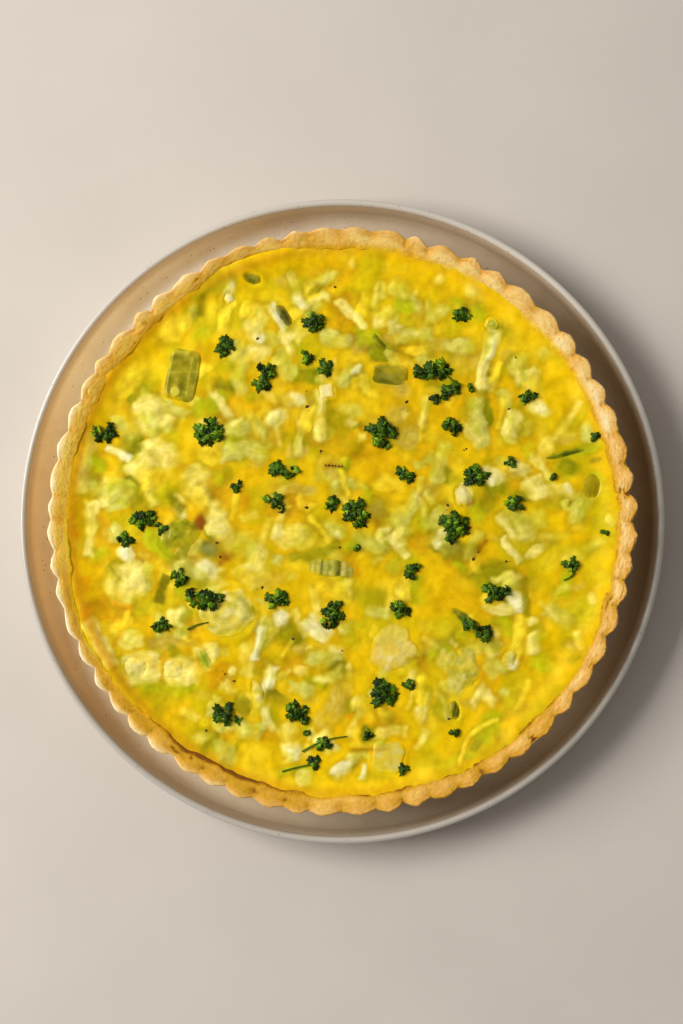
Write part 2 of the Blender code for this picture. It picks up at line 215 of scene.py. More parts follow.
        ("slab", 87, 21, 8, 3, -60, 0.5), ("oval", 90, 13, 16, 5, 0, 0.5),
        ("slab", 70, -2, 12, 3.5, -58, 0.75), ("oval", 54, -13, 5, 6, 0, 0.6),
        ("slab", 72, -12, 14, 3, -55, 0.65), ("oval", 114, 1, 3, 6, 20, 0.4),
        ("slab", -88, -22, 12, 6, 90, 0.5), ("slab", -103, -52, 24, 6, -60, 0.5),
        ("oval", -90, -50, 12, 8, 0, 0.4), ("oval", -47, -65, 4, 5, 0, 0.6),
        ("slab", -65, -82, 10, 4, -20, 0.3), ("oval", -60, -92, 6, 5, 0, 0.4),
        ("slab", -18, -43, 12, 3, -65, 0.6), ("oval", -12, -46, 9, 5, -50, 0.5),
        ("slab", -11, -33, 12, 4, -75, 0.45), ("oval", 3, -28, 5, 7, 0, 0.4),
        ("oval", 25, -30, 5, 6, 0, 0.75), ("slab", 38, -52, 9, 2, -35, 0.5),
        ("oval", -6, -66, 12, 4, 10, 0.6), ("oval", 3, -64, 4, 6, 0, 0.6),
        ("oval", -23, -89, 8, 7, 0, 0.65), ("oval", -16, -109, 6, 7, 0, 0.5),
        ("oval", 4, -101, 6, 5, 0, 0.5), ("slab", 5, -86, 12, 3, 65, 0.4), ("slab", 20, -90, 14, 4, 5, 0.5),
        ("slab", 34, -93, 10, 3, 60, 0.5), ("slab", 29, -76, 9, 1.5, 75, 0.5),
        ("slab", 68, -23.5, 10, 3, 15, 0.6), ("oval", 68, -37, 14, 5, 0, 0.6),
        ("slab", 88, -38, 12, 2, -50, 0.4), ("oval", 107, -33, 4, 5, 0, 0.4),
        ("slab", 101, -50, 8, 3, -75, 0.55), ("oval", 81, -42, 5, 4, 0, 0.5),
        ("oval", 65, -54, 5, 8, -30, 0.4), ("oval", 47, -69, 9, 9, 0, 0.6),
        ("slab", 62, -74, 10, 5, -40, 0.5), ("slab", 43, -77, 10, 2.5, -50, 0.4),
        ("slab", -85, -62, 16, 14, 10, 0.5), ("slab", -69, -64, 12, 13, 5, 0.5),
        ("oval", -92, -27, 17, 19, 0, 0.4),
    ),
    "bright": (
        ("slab", -49, 88, 14, 5, 75, 0.6), ("oval", -90, 60, 20, 8, 55, 0.5),
        ("oval", -72, 82, 18, 8, 35, 0.5), ("slab", 9, 92, 4, 9, -10, 0.4), ("oval", 31, 73, 10, 4, 5, 0.5),
        ("oval", 12, 56, 8, 4, -45, 0.4), ("slab", 66, 63, 12, 3, 68, 0.5),
        ("oval", 84, 55, 14, 4, -60, 0.4), ("slab", -46, 6, 12, 2.5, 80, 0.6),
        ("slab", -15, 44, 14, 4, 85, 0.6), ("slab", 37, 38, 8, 8, 0, 0.3),
        ("slab", 1, 17, 12, 2.2, -75, 0.9), ("slab", -9, -3, 14, 2.5, -50, 0.7),
        ("oval", 20, 16, 14, 7, 0, 0.4), ("slab", 68, 46, 14, 2, 85, 0.5), ("oval", 100, -3, 6, 3, 0, 0.5),
        ("slab", -94, -44, 12, 4, 40, 0.4), ("slab", -23, -54, 9, 1.6, 55, 0.7),
        ("slab", -4, -30, 16, 8, -10, 0.35), ("slab", 75, -48, 20, 5, 85, 0.5),
        ("slab", 77, -74, 14, 3, 70, 0.5), ("arc", 55, -91, 26, 2, 50, 0.7),
    ),
    "white": (
        ("oval", -48.5, 98, 9, 5, 75, 0.8), ("oval", -18, 94, 7, 4, -40, 0.7),
        ("slab", -27, 87, 13, 3.5, -60, 0.8), ("oval", -37, 79, 8, 5, 0, 0.55),
        ("oval", 6.5, 65, 5, 3, 50, 0.7), ("oval", -20, 52, 10, 6, 10, 0.8),
        ("slab", 64, 75, 12, 3, 72, 0.6), ("slab", -96, 29.5, 12, 3.6, -28, 0.9),
        ("oval", -81, 43, 7, 3, -60, 0.5), ("oval", -92, -14, 8, 6, 0, 0.5),
        ("oval", -29, 44, 6, 4, 60, 0.5), ("oval", 3, 42, 5, 3.5, 0, 0.5), ("oval", -2, -5, 5, 3, -50, 0.5),
        ("oval", 96.5, 14, 4, 3, 0, 0.5), ("oval", -58, -21, 14, 8, 0, 0.7),
        ("slab", -42, -36, 12, 2.6, -75, 0.7), ("oval", -26, -41, 9, 7, -40, 0.7),
        ("slab", -35.5, -52, 14, 4, 75, 0.8), ("slab", -31, -67, 13, 6, 80, 0.8),
        ("oval", -22, -97, 9, 7, -30, 0.7), ("oval", 0, -105, 10, 6, 30, 0.65),
        ("slab", 9, -107, 7, 2.6, 80, 0.6), ("oval", 75, -34, 6, 8, 30, 0.65),
        ("oval", 73, -60, 5, 6, 0, 0.6), ("oval", 44, -82, 3, 5, 0, 0.5),
    ),
    "grey": (
        ("oval", -56, -11.5, 8, 6, 0, 0.97), ("oval", -56, -11.5, 5, 4, 0, 0.9),
    ),
    "amber": (
        ("oval", -102, 28, 3, 2, 0, 0.3), ("oval", -41, 9, 4, 6, 0, 0.5), ("oval", -112, 7, 3, 5, 0, 0.4),
        ("oval", -115, -2, 6, 12, 0, 0.4), ("slab", -93, -36, 8, 2, -20, 0.5),
        ("oval", -109, -27, 5, 8, 0, 0.3), ("oval", -109, -37, 4, 5, 0, 0.4),
        ("slab", -95.5, -50, 7, 1.4, 60, 0.4), ("oval", 3, -83, 2, 2, 0, 0.5),
    ),
    "brown": (
        ("oval", -60, -1, 5, 7, -10, 0.65), ("oval", -49, -14.5, 4, 3, -30, 0.7),
        ("oval", 15, 0, 3, 4, 0, 0.4), ("slab", -3.5, 23.8, 7, 0.8, 0, 0.7),
        ("slab", -12, -3, 10, 0.6, -45, 0.3), ("oval", 55, 8, 3, 3, 0, 0.5),
        ("slab", 60, -10, 6, 1.6, 60, 0.8), ("oval", -51, -17, 3, 3, 0, 0.5),
        # The brown oval at 34.5, -61 is painted shade at the lower right of a cheese lump.
        ("oval", 34.5, -61, 9, 5, -70, 0.2), ("slab", 12, -97, 16, 0.8, 2, 0.5),
        ("oval", 67, -93, 3, 3, 0, 0.3),
    ),
}

# How much the layers of a leek change its red, green and blue.
VEINS = np.array((0.025, 0.03, 0.12))

# Stretches of custard with nothing in them: x, y, radius.
CALM = (
    (-72, -88, 14), (-95, 62, 12), (-85, 72, 10), (-5, 108, 9), (95, 62, 14), (105, -5, 9),
    (85, -70, 14), (30, -101, 9), (60, 96, 9),
)

# How each piece of leek and cheese looks: pattern, slot, light and dark colour, how much custard
# lies on it, and the roundness of its outline (2 is an oval and 8 nearly square).
FINISHES = {
    "leek_slab_1": ("celled", "leek_green", (206, 196, 70), (108, 102, 0), 0.16, 5),
    "leek_slab_2": ("folded", "leek_green", (160, 148, 30), (96, 92, 2), 0.25, 3.4),
    "leek_slab_3": ("bubbled", "leek_green", (166, 162, 28), (112, 112, 0), 0.3, 2.8),
    "leek_slab_4": ("segmented", "leek_pale", (196, 192, 96), (90, 92, 6), 0.25, 4),
    "leek_slab_5": ("plain", "leek_pale", (226, 212, 116), (206, 192, 80), 0.45, 4),
    "leek_disc_1": ("ringed", "leek_pale", (244, 232, 150), (176, 166, 44), 0.35, 2.3),
    "leek_disc_2": ("ringed", "leek_green", (210, 206, 84), (158, 160, 24), 0.4, 2),
    "leek_disc_3": ("mottled", "leek_pale", (236, 224, 136), (216, 204, 96), 0.8, 2.6),
    "leek_disc_4": ("mottled", "leek_pale", (236, 224, 134), (214, 202, 92), 0.8, 2.6),
    "leek_oval_1": ("plain", "leek_green", (152, 134, 4), (136, 120, 0), 0.1, 2.4),
    "leek_oval_2": ("folded", "leek_green", (140, 136, 22), (80, 78, 6), 0.15, 2.2),
    "leek_oval_3": ("folded", "leek_green", (150, 146, 36), (84, 84, 8), 0.15, 2.2),
    "leek_leaf_1": ("ridged", "leek_green", (120, 122, 28), (72, 84, 10), 0.25, 3),
    "leek_leaf_2": ("ridged", "leek_green", (96, 108, 20), (52, 66, 6), 0.2, 2.6),
    "leek_leaf_3": ("ridged", "leek_green", (86, 84, 18), (36, 38, 10), 0.12, 3),
    "leek_leaf_4": ("ridged", "leek_green", (104, 112, 24), (60, 70, 8), 0.3, 2.4),
    "leek_leaf_5": ("ridged", "leek_green", (184, 190, 56), (132, 146, 12), 0.3, 2.6),
    "leek_heart_1": ("mottled", "leek_pale", (220, 210, 112), (176, 172, 44), 0.4, 2.6),
    "leek_heart_2": ("mottled", "leek_pale", (236, 224, 142), (208, 196, 82), 0.4, 2.4),
    "leek_heart_3": ("mottled", "leek_pale", (234, 222, 130), (200, 192, 72), 0.45, 2.4),
    "cheese_lump_1": ("browned", "cheese", (234, 216, 132), (190, 138, 30), 0.4, 2.5),
    "cheese_lump_2": ("browned", "cheese", (238, 228, 160), (190, 130, 50), 0.3, 2.4),
    "cheese_lump_3": ("plain", "cheese", (240, 232, 172), (232, 218, 132), 0.4, 2.2),
    "cheese_cube_1": ("plain", "cheese", (248, 232, 164), (240, 220, 140), 0.2, 6),
}

# Chopped curly parsley: x and y of the middle, length, width in mm and turn in degrees.
SPRIGS = (
    (-12, 85, 11, 9, 30), (-50, 75, 10, 9, 0), (-15, 70, 7.5, 6, 0), (-7, 65.5, 8.5, 7, 60),
    (-33, 61.5, 14, 10, 70), (51, 88, 8, 7, 0), (39, 64.5, 19, 9, 5), (46, 56, 13, 6, 30),
    (55, 57, 4, 3, 0), (79, 53, 9, 6, 10), (-57, 38, 14, 13, 0), (-101, 37.5, 11, 9, -20),
    (17, 38, 17, 14, 80), (47, 41, 10, 9, 0), (-26, 22, 18, 8, -12), (27, 20, 15, 4.5, -30),
    (57, 20, 13, 10, -20), (72, 25.5, 6, 5, 0), (90, 19, 3, 3, 0), (-45, 14.5, 6, 5, 0),
    (-28.5, 8.5, 10, 8, -20), (-4, 8, 7, 7, 0), (5.5, 2.6, 15, 11, -40), (48, -2, 15, 13, 20),
    (74, 7.6, 9, 8, 0), (-85, 1, 15, 7, 0), (-92, -8, 9, 7, 0), (-69, -24, 10, 7, -30),
    (-60, -33, 19, 10, -5), (-27.5, -33, 11, 9, 0), (-4, -41, 14, 10, 70), (30, -21, 10, 7, 70),
    (25, -37, 11, 8, 10), (65, -30, 16, 7, -10), (98, -18, 9, 7, 30), (61, -48, 9, 7, -30),
    (55, -44, 10, 6, -30), (-77, -44, 10, 5, 10), (18, -73, 17, 11, -50), (28, -69.5, 6, 5, 0),
    (-19.5, -81, 12, 10, -20), (-50, -82.5, 16, 9, -10), (-8, -95, 8, 6, 10), (-12, -103, 6, 6, 0),
    (11, -91, 6, 4, 40), (48, -90, 4.5, 4, 0), (26, -105.5, 6, 3.5, 50), (112, -4.5, 4, 2.5, -30),
    (107.6, 36, 5, 3, 20), (-15, -90, 3, 2.5, 0), (6, -11, 3.5, 2.5, 0),
    (32.5, 64, 7, 5, 0), (39.5, 52.5, 6, 5, 30), (43.5, 0.5, 6, 5, 0), (-2.5, -35.5, 6, 5, 0),
    (-53, -32, 6, 5, 0), (-77, -2.5, 7, 4.5, 20), (-16, -85, 5, 4, 0), (46, -7.5, 5, 4, 0), (8, 8, 5, 4, 0),
)

# Stalks among the parsley: x, y of one end, x, y of the other, and bow, in mm.
STALKS = (
    (-17, -98, 2, -91.5, 1.4), (-25.5, -106.5, -13, -103.5, 0.3), (99, -22, 94.5, -25, 0.4),
    (39.5, 64, 47, 60, 0.8), (-66, -46, -57, -43, 0.6),
)

# Ground pepper: x, y and size in mm.
PEPPER = (
    (-3, 100, 1.1), (-36, 78, 1), (-15, 49, 1.3), (27.5, 51, 1.2), (-9, 30, 1.1), (53, 31, 0.9),
    (-15, 6, 1.4), (45, 7, 1), (71, 48, 0.9), (-34, -28, 1.1), (56, -16, 1.2), (70, -17, 1),
    (-21, -50, 1), (-46, -68, 1), (-50, -65, 0.8), (-58, -89, 0.9), (45.5, -84, 1), (-1, -11, 0.9),
    (-53.5, -9, 1.1), (52, 30.5, 0.7), (74, 70, 0.7), (0, -55, 0.7), (58, -13, 0.8), (-52, -15, 1),
)


# ---------------------------------------------------------------------------------------------
# Sums that the pieces share
# ---------------------------------------------------------------------------------------------

def linear(colour):
    """The linear light of an 8-bit colour."""
    share = np.asarray(colour, dtype=float) / 255
    return np.where(share <= 0.04045, share / 12.92, ((share + 0.055) / 1.055) ** 2.4)


def smooth(low, high, value):
    """0 below low, 1 above high, and a soft step between them."""
    share = np.clip((value - low) / (high - low), 0, 1)
    return share * share * (3 - 2 * share)


def bump(value, middle, width):
    """A round hump of height 1 at middle."""
    return np.exp(-((value - middle) / width) ** 2)


def lattice(column, row, seed):
    """A fixed random number from 0 to 1 for each pair of whole numbers."""
    mixed = (column * 374761393 + row * 668265263 + seed * 974634777) & 0xFFFFFFFF
    mixed = ((mixed ^ (mixed >> 13)) * 1274126177) & 0xFFFFFFFF
    return ((mixed ^ (mixed >> 16)) & 0xFFFFFF) / 0xFFFFFF


def ripple(x, y, cell, seed, octaves=1, around=0):
    """Smooth noise from -1 to 1 with features cell wide. With around, x repeats every so many cells."""
    total = 0.0
    reach = 0.0
    for octave in range(octaves):
        fine = 2 ** octave
        u, v = x / cell * fine, y / cell * fine
        column, row = np.floor(u).astype(np.int64), np.floor(v).astype(np.int64)
        u, v = u - column, v - row
        u, v = u * u * (3 - 2 * u), v * v * (3 - 2 * v)
        after = column + 1
        if around:
            column, after = column % (around * fine), after % (around * fine)
        layer = seed + 17 * octave
        low = lattice(column, row, layer) * (1 - u) + lattice(after, row, layer) * u
        high = lattice(column, row + 1, layer) * (1 - u) + lattice(after, row + 1, layer) * u
        total = total + (low * (1 - v) + high * v - 0.5) * 2 / fine
        reach += 1 / fine
    return total / reach * 1.3


def turned(x, y, turn):
    """x and y seen from axes turned by this angle."""
    return x * np.cos(turn) + y * np.sin(turn), y * np.cos(turn) - x * np.sin(turn)


def places_near(x, y, middle_x, middle_y, reach):
    """Which places lie within reach of a middle, along x and along y."""
    return np.nonzero((np.abs(x - middle_x) < reach) & (np.abs(y - middle_y) < reach))[0]


def depth_in(shape, along, across, half_length, half_width):
    """How far inside an outline a place is, in mm, below 0 outside it."""
    if shape == "oval":
        share = np.hypot(along / half_length, across / half_width)
        return (1 - share) * min(half_length, half_width)
    if shape == "arc":
        across = across + half_length * 0.35 * (along / half_length) ** 2
    corner = min(half_length, half_width) * 0.45
    past_end = np.abs(along) - half_length + corner
    past_side = np.abs(across) - half_width + corner
    outside = np.hypot(np.maximum(past_end, 0), np.maximum(past_side, 0))
    return corner - outside - np.minimum(np.maximum(past_end, past_side), 0)


# ---------------------------------------------------------------------------------------------
# Meshes
# ---------------------------------------------------------------------------------------------

def grid_faces(rows, columns, around=False):
    """The quads of a grid of points, row by row. With around, the last column meets the first."""
    index = np.arange(rows * columns).reshape(rows, columns)
    if around:
        index = np.concatenate([index, index[:, :1]], axis=1)
    corners = (index[:-1, :-1], index[:-1, 1:], index[1:, 1:], index[1:, :-1])
    return np.stack(corners, axis=-1).reshape(-1, 4).tolist()


def border_of(side):
    """The points round the edge of a square grid with side points a side, in order."""
    index = np.arange(side * side).reshape(side, side)
    return np.concatenate([index[0, :-1], index[:-1, -1], index[-1, :0:-1], index[:0:-1, 0]])


def band(lower, upper):
    """The quads between two rings of points."""
    return np.stack([lower, np.roll(lower, -1), np.roll(upper, -1), upper], axis=-1).tolist()


def new_object(name, points, faces, material=None):
    """A smooth object from points in mm."""
    mesh = bpy.data.meshes.new(name)
    mesh.from_pydata((np.asarray(points, dtype=float) * MM).tolist(), [], faces)
    mesh.polygons.foreach_set("use_smooth", np.ones(len(mesh.polygons), dtype=bool))
    mesh.update()
    obj = bpy.data.objects.new(name, mesh)
    bpy.context.scene.collection.objects.link(obj)
    if material:
        mesh.materials.append(material)
    return obj


def store(obj, name, values):
    """Writes one value or colour per point as an attribute that a material or a node tree reads."""
    values = np.asarray(values, dtype=np.float32)
    if values.ndim == 1:
        layer = obj.data.attributes.new(name, "FLOAT", "POINT")
        layer.data.foreach_set("value", values)
        return
    opaque = np.ones((len(values), 1), dtype=np.float32)
    layer = obj.data.color_attributes.new(name, "FLOAT_COLOR", "POINT")
    layer.data.foreach_set("color", np.hstack([values, opaque]).ravel())


def store_grain(obj, along, across):
    """A UV map of the distances along and across a piece, in mm."""
    layer = obj.data.uv_layers.new(name="grain")
    corners = np.empty(len(obj.data.loops), dtype=np.int64)
    obj.data.loops.foreach_get("vertex_index", corners)
    layer.uv.foreach_set("vector", np.stack([along, across], axis=-1)[corners].astype(np.float32).ravel())


def lathe(name, radius, height, steps, material):
    """A closed body of revolution, whose profile goes from the underside, up outside and down inside.

    radius and height are columns of numbers, or grids with one column for each step around."""
    angle = np.arange(steps) * tau / steps
    radius = np.broadcast_to(np.reshape(radius, (len(radius), -1)), (len(radius), steps))
    height = np.broadcast_to(np.reshape(height, (len(height), -1)), (len(height), steps))
    points = np.stack([radius * np.cos(angle), radius * np.sin(angle), height], axis=-1).reshape(-1, 3)
    faces = grid_faces(len(radius), steps, around=True)
    faces.append(list(range(steps))[::-1])
    faces.append([(len(radius) - 1) * steps + step for step in range(steps)])
    return new_object(name, points, faces, material)


def as_plain_mesh(obj):
    """Turns an object's modifiers into its mesh."""
    graph = bpy.context.evaluated_depsgraph_get()
    plain = bpy.data.meshes.new_from_object(obj.evaluated_get(graph), depsgraph=graph)
    old = obj.data
    obj.modifiers.clear()
    obj.data = plain
    plain.name = obj.name
    if old.users == 0:
        bpy.data.meshes.remove(old)


def finish_piece(obj, slot, *nodes):
    """Hangs a finished piece on the body, in place of the solids it stands for; slot is not used."""
    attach(obj, BODY)
    if nodes:
        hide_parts(*nodes)


# ---------------------------------------------------------------------------------------------
# Geometry node trees
# ---------------------------------------------------------------------------------------------

class Tree:
    """A geometry node tree with named inputs."""

    def __init__(self, name, inputs):
        self.group = bpy.data.node_groups.new(name, "GeometryNodeTree")
        interface = self.group.interface
        interface.new_socket("Geometry", in_out="INPUT", socket_type="NodeSocketGeometry")
        for label, kind in inputs:
            interface.new_socket(label, in_out="INPUT", socket_type=kind)
        interface.new_socket("Geometry", in_out="OUTPUT", socket_type="NodeSocketGeometry")
        self.start = self.group.nodes.new("NodeGroupInput")
        self.end = self.group.nodes.new("NodeGroupOutput")

    def node(self, kind, *values, **settings):
        """Adds a node; values are numbers or sockets for its inputs in order, and None skips one."""
        node = self.group.nodes.new(kind)
        for key, value in settings.items():
            setattr(node, key, value)
        for socket, value in zip(node.inputs, values):
            if isinstance(value, bpy.types.NodeSocket):
                self.group.links.new(value, socket)
            elif value is not None:
                socket.default_value = value
        return node

    def maths(self, operation, *values):
        return self.node("ShaderNodeMath", *values, operation=operation).outputs[0]

    def read(self, name, kind="FLOAT"):
        """A point attribute."""
        node = self.node("GeometryNodeInputNamedAttribute", name, data_type=kind)
        return node.outputs["Attribute"]

    def finish(self, geometry, material):
        """Ends the tree with plain geometry in the piece's material."""
        real = self.node("GeometryNodeRealizeInstances", geometry)
        painted = self.node("GeometryNodeSetMaterial", real.outputs[0], None, material)
        self.group.links.new(painted.outputs[0], self.end.inputs[0])
        return self.group

    def run_on(self, obj, **values):
        """Puts the tree on an object, sets its named inputs and makes the result plain."""
        modifier = obj.modifiers.new(self.group.name, "NODES")
        modifier.node_group = self.group
        for socket in self.group.interface.items_tree:
            key = socket.name.replace(" ", "_").lower()
            if socket.in_out == "INPUT" and key in values:
                modifier[socket.identifier] = values[key]
        as_plain_mesh(obj)


def flute_tree(material):
    """Presses flutes into a turned shape: depth falls along round crests to narrow valleys."""
    tree = Tree("Flutes", (("Count", "NodeSocketFloat"), ("Depth", "NodeSocketFloat"),
                           ("Pinch", "NodeSocketFloat")))
    count, depth, pinch = (tree.start.outputs[label] for label in ("Count", "Depth", "Pinch"))
    place = tree.node("GeometryNodeInputPosition").outputs[0]
    parts = tree.node("ShaderNodeSeparateXYZ", place).outputs
    angle = tree.maths("ARCTAN2", parts["Y"], parts["X"])
    wave = tree.maths("SINE", tree.maths("MULTIPLY", angle, tree.maths("MULTIPLY", count, 0.5)))
    crest = tree.maths("ABSOLUTE", wave)
    soft = tree.maths("MULTIPLY", crest, crest)
    sharp_part = tree.maths("MULTIPLY", crest, pinch)
    soft_part = tree.maths("MULTIPLY", soft, tree.maths("SUBTRACT", 1.0, pinch))
    hollow = tree.maths("SUBTRACT", 1.0, tree.maths("ADD", sharp_part, soft_part))
    inward = tree.maths("MULTIPLY", tree.maths("MULTIPLY", hollow, depth), tree.read("flute_share"))
    flat = tree.node("ShaderNodeCombineXYZ", parts["X"], parts["Y"], 0.0).outputs[0]
    outward = tree.node("ShaderNodeVectorMath", flat, operation="NORMALIZE").outputs[0]
    push = tree.node("ShaderNodeVectorMath", outward, operation="SCALE")
    tree.group.links.new(tree.maths("MULTIPLY", inward, -1.0), push.inputs["Scale"])
    lift = tree.maths("MULTIPLY", tree.maths("MULTIPLY", hollow, depth), tree.read("scoop_share"))
    up = tree.node("ShaderNodeCombineXYZ", 0.0, 0.0, lift).outputs[0]
    offset = tree.node("ShaderNodeVectorMath", push.outputs[0], up, operation="ADD").outputs[0]
    moved = tree.node("GeometryNodeSetPosition", tree.start.outputs["Geometry"])
    tree.group.links.new(offset, moved.inputs["Offset"])
    tree.finish(moved.outputs[0], material)
    return tree


def scatter_tree(name, material):
    """Puts one of a few small shapes on each point, leaning, turned and sized as the point says."""
    tree = Tree(name, (("Shapes", "NodeSocketCollection"), ("Size", "NodeSocketFloat")))
    shapes = tree.node("GeometryNodeCollectionInfo", tree.start.outputs["Shapes"], True, True)
    turn = tree.node("ShaderNodeCombineXYZ", tree.read("roll"), tree.read("lean"), tree.read("turn"))
    rotation = tree.node("FunctionNodeEulerToRotation", turn.outputs[0]).outputs[0]
    size = tree.maths("MULTIPLY", tree.read("size"), tree.start.outputs["Size"])
    placed = tree.node("GeometryNodeInstanceOnPoints", tree.start.outputs["Geometry"])
    links = tree.group.links
    links.new(shapes.outputs[0], placed.inputs["Instance"])
    placed.inputs["Pick Instance"].default_value = True
    links.new(tree.read("kind", "INT"), placed.inputs["Instance Index"])
    links.new(rotation, placed.inputs["Rotation"])
    links.new(size, placed.inputs["Scale"])
    tree.finish(placed.outputs[0], material)
    return tree


def scatter(name, material, shapes, points, scale, **layers):
    """Scatters small shapes over points and returns them as one plain mesh."""
    shelf = bpy.data.collections.new(name + "_shapes")
    bpy.context.scene.collection.children.link(shelf)
    for shape in shapes:
        shelf.objects.link(shape)
        bpy.context.scene.collection.objects.unlink(shape)
    obj = new_object(name, points, [])
    for layer, values in layers.items():
        store(obj, layer, values)
    kinds = obj.data.attributes.new("kind", "INT", "POINT")
    kinds.data.foreach_set("value", np.arange(len(points), dtype=np.int32) % len(shapes))
    scatter_tree(name, material).run_on(obj, shapes=shelf, size=scale)
    for shape in shapes:
        bpy.data.objects.remove(shape)
    bpy.data.collections.remove(shelf)
    return obj


# ---------------------------------------------------------------------------------------------
# Materials
# ---------------------------------------------------------------------------------------------

class Recipe:
    """A material, with short ways to add what varies over its surface."""

    def __init__(self, name, **values):
        self.material = bpy.data.materials.new(name)
        self.material.use_nodes = True
        self.tree = self.material.node_tree
        self.shader = self.tree.nodes["Principled BSDF"]
        for label, value in values.items():
            label = label.replace("_", " ").title().replace("Ior", "IOR")
            self.shader.inputs[label].default_value = value
        self.place = self.tree.nodes.new("ShaderNodeTexCoord").outputs["Object"]

    def set(self, socket, value):
        if isinstance(value, bpy.types.NodeSocket):
            self.tree.links.new(value, socket)
        elif np.ndim(value) and len(value) == 3 and socket.type == "RGBA":
            socket.default_value = (*value, 1.0)
        else:
            socket.default_value = value

    def into(self, label, value):
        self.set(self.shader.inputs[label], value)

    def attribute(self, name, output="Color"):
        node = self.tree.nodes.new("ShaderNodeAttribute")
        node.attribute_name = name
        return node.outputs[output]

    def grain(self):
        node = self.tree.nodes.new("ShaderNodeUVMap")
        node.uv_map = "grain"
        return node.outputs[0]

    def stretched(self, place, scale):
        node = self.tree.nodes.new("ShaderNodeMapping")
        self.set(node.inputs["Vector"], place)
        node.inputs["Scale"].default_value = scale
        return node.outputs[0]

    def noise(self, size, detail=2.0, roughness=0.5, place=None, distortion=0.0):
        """Noise with features about size mm across, or size units of another place."""
        node = self.tree.nodes.new("ShaderNodeTexNoise")
        self.set(node.inputs["Vector"], place or self.place)
        node.inputs["Scale"].default_value = 1 / size if place else 1 / (size * MM)
        node.inputs["Detail"].default_value = detail
        node.inputs["Roughness"].default_value = roughness
        node.inputs["Distortion"].default_value = distortion
        return node.outputs["Fac"]

    def cells(self, size, output="Distance", randomness=1.0):
        node = self.tree.nodes.new("ShaderNodeTexVoronoi")
        self.set(node.inputs["Vector"], self.place)
        node.inputs["Scale"].default_value = 1 / (size * MM)
        node.inputs["Randomness"].default_value = randomness
        return node.outputs[output]

    def ramp(self, value, *stops):
        """Maps a value through (place, colour) or (place, number) stops."""
        node = self.tree.nodes.new("ShaderNodeValToRGB")
        elements = node.color_ramp.elements
        while len(elements) < len(stops):
            elements.new(0.5)
        for element, (place, colour) in zip(elements, stops):
            element.position = place
            shade = linear(colour) if np.ndim(colour) else (colour,) * 3
            element.color = (*shade, 1.0)
        self.set(node.inputs["Fac"], value)
        return node.outputs["Color"]

    def maths(self, operation, *values):
        node = self.tree.nodes.new("ShaderNodeMath")
        node.operation = operation
        for socket, value in zip(node.inputs, values):
            self.set(socket, value)
        return node.outputs[0]

    def mix(self, share, low, high, mode="MIX"):
        """Blends two colours."""
        node = self.tree.nodes.new("ShaderNodeMix")
        node.data_type = "RGBA"
        node.blend_type = mode
        self.set(node.inputs[0], share)
        self.set(node.inputs[6], low)
        self.set(node.inputs[7], high)
        return node.outputs[2]

    def relief(self, height, depth, strength=1.0):
        """Bump with this depth in mm, on top of the relief already there."""
        node = self.tree.nodes.new("ShaderNodeBump")
        node.inputs["Strength"].default_value = strength
        node.inputs["Distance"].default_value = depth * MM
        self.set(node.inputs["Height"], height)
        normal = self.shader.inputs["Normal"]
        if normal.links:
            self.tree.links.new(normal.links[0].from_socket, node.inputs["Normal"])
        self.tree.links.new(node.outputs[0], normal)


def wet_food(name, settings, see_in, fibres):
    """Cooked leek, cheese or custard: moist, a little clear, and of uneven tint."""
    recipe = Recipe(name, subsurface_weight=see_in, subsurface_scale=0.002, coat_weight=0.13,
                    coat_roughness=0.08, specular_ior_level=0.06)
    recipe.shader.inputs["Subsurface Radius"].default_value = (1.0, 0.8, 0.4)
    tint = recipe.attribute("tint")
    broad = recipe.noise(4.6, detail=3.0, roughness=0.5)
    fine = recipe.noise(1.5, detail=2.0)
    tint = recipe.mix(1.0, tint, recipe.ramp(broad, (0.3, 0.88), (0.55, 1.0), (0.75, 1.07)), "MULTIPLY")
    tint = recipe.mix(1.0, tint, recipe.ramp(fine, (0.3, 0.96), (0.7, 1.03)), "MULTIPLY")
    if fibres:
        strands = recipe.noise(1.0, detail=2.0, place=recipe.stretched(recipe.grain(), (0.12, 1.6, 1.0)))
        tint = recipe.mix(1.0, tint, recipe.ramp(strands, (0.3, 0.95), (0.7, 1.03)), "MULTIPLY")
        recipe.relief(strands, 0.04, fibres)
    recipe.into("Base Color", tint)
    recipe.into("Roughness", recipe.ramp(broad, (0.3, settings.shine), (0.7, settings.shine + 0.2)))
    recipe.relief(broad, 0.4, 0.3)
    recipe.relief(fine, 0.1, 0.3)
    return recipe.material


def pastry_material():
    """Shortcrust: a tint that varies with how baked it is, dry, with a crumb and fine cracks."""
    recipe = Recipe("pastry", subsurface_weight=0.2, subsurface_scale=0.002, specular_ior_level=0.15)
    fine = recipe.noise(1.3, detail=4.0, roughness=0.65)
    crumb = recipe.noise(0.55, detail=3.0, roughness=0.6)
    grilled = recipe.ramp(fine, (0.25, (232, 222, 200)), (0.5, (252, 250, 246)), (0.75, (255, 255, 255)))
    tint = recipe.mix(1.0, recipe.attribute("tint"), grilled, "MULTIPLY")
    tint = recipe.mix(1.0, tint, recipe.ramp(crumb, (0.3, 0.94), (0.7, 1.04)), "MULTIPLY")
    recipe.into("Base Color", tint)
    recipe.into("Roughness", recipe.ramp(fine, (0.3, 0.55), (0.7, 0.8)))
    recipe.relief(fine, 0.5, 0.6)
    recipe.relief(crumb, 0.25, 0.6)
    return recipe.material


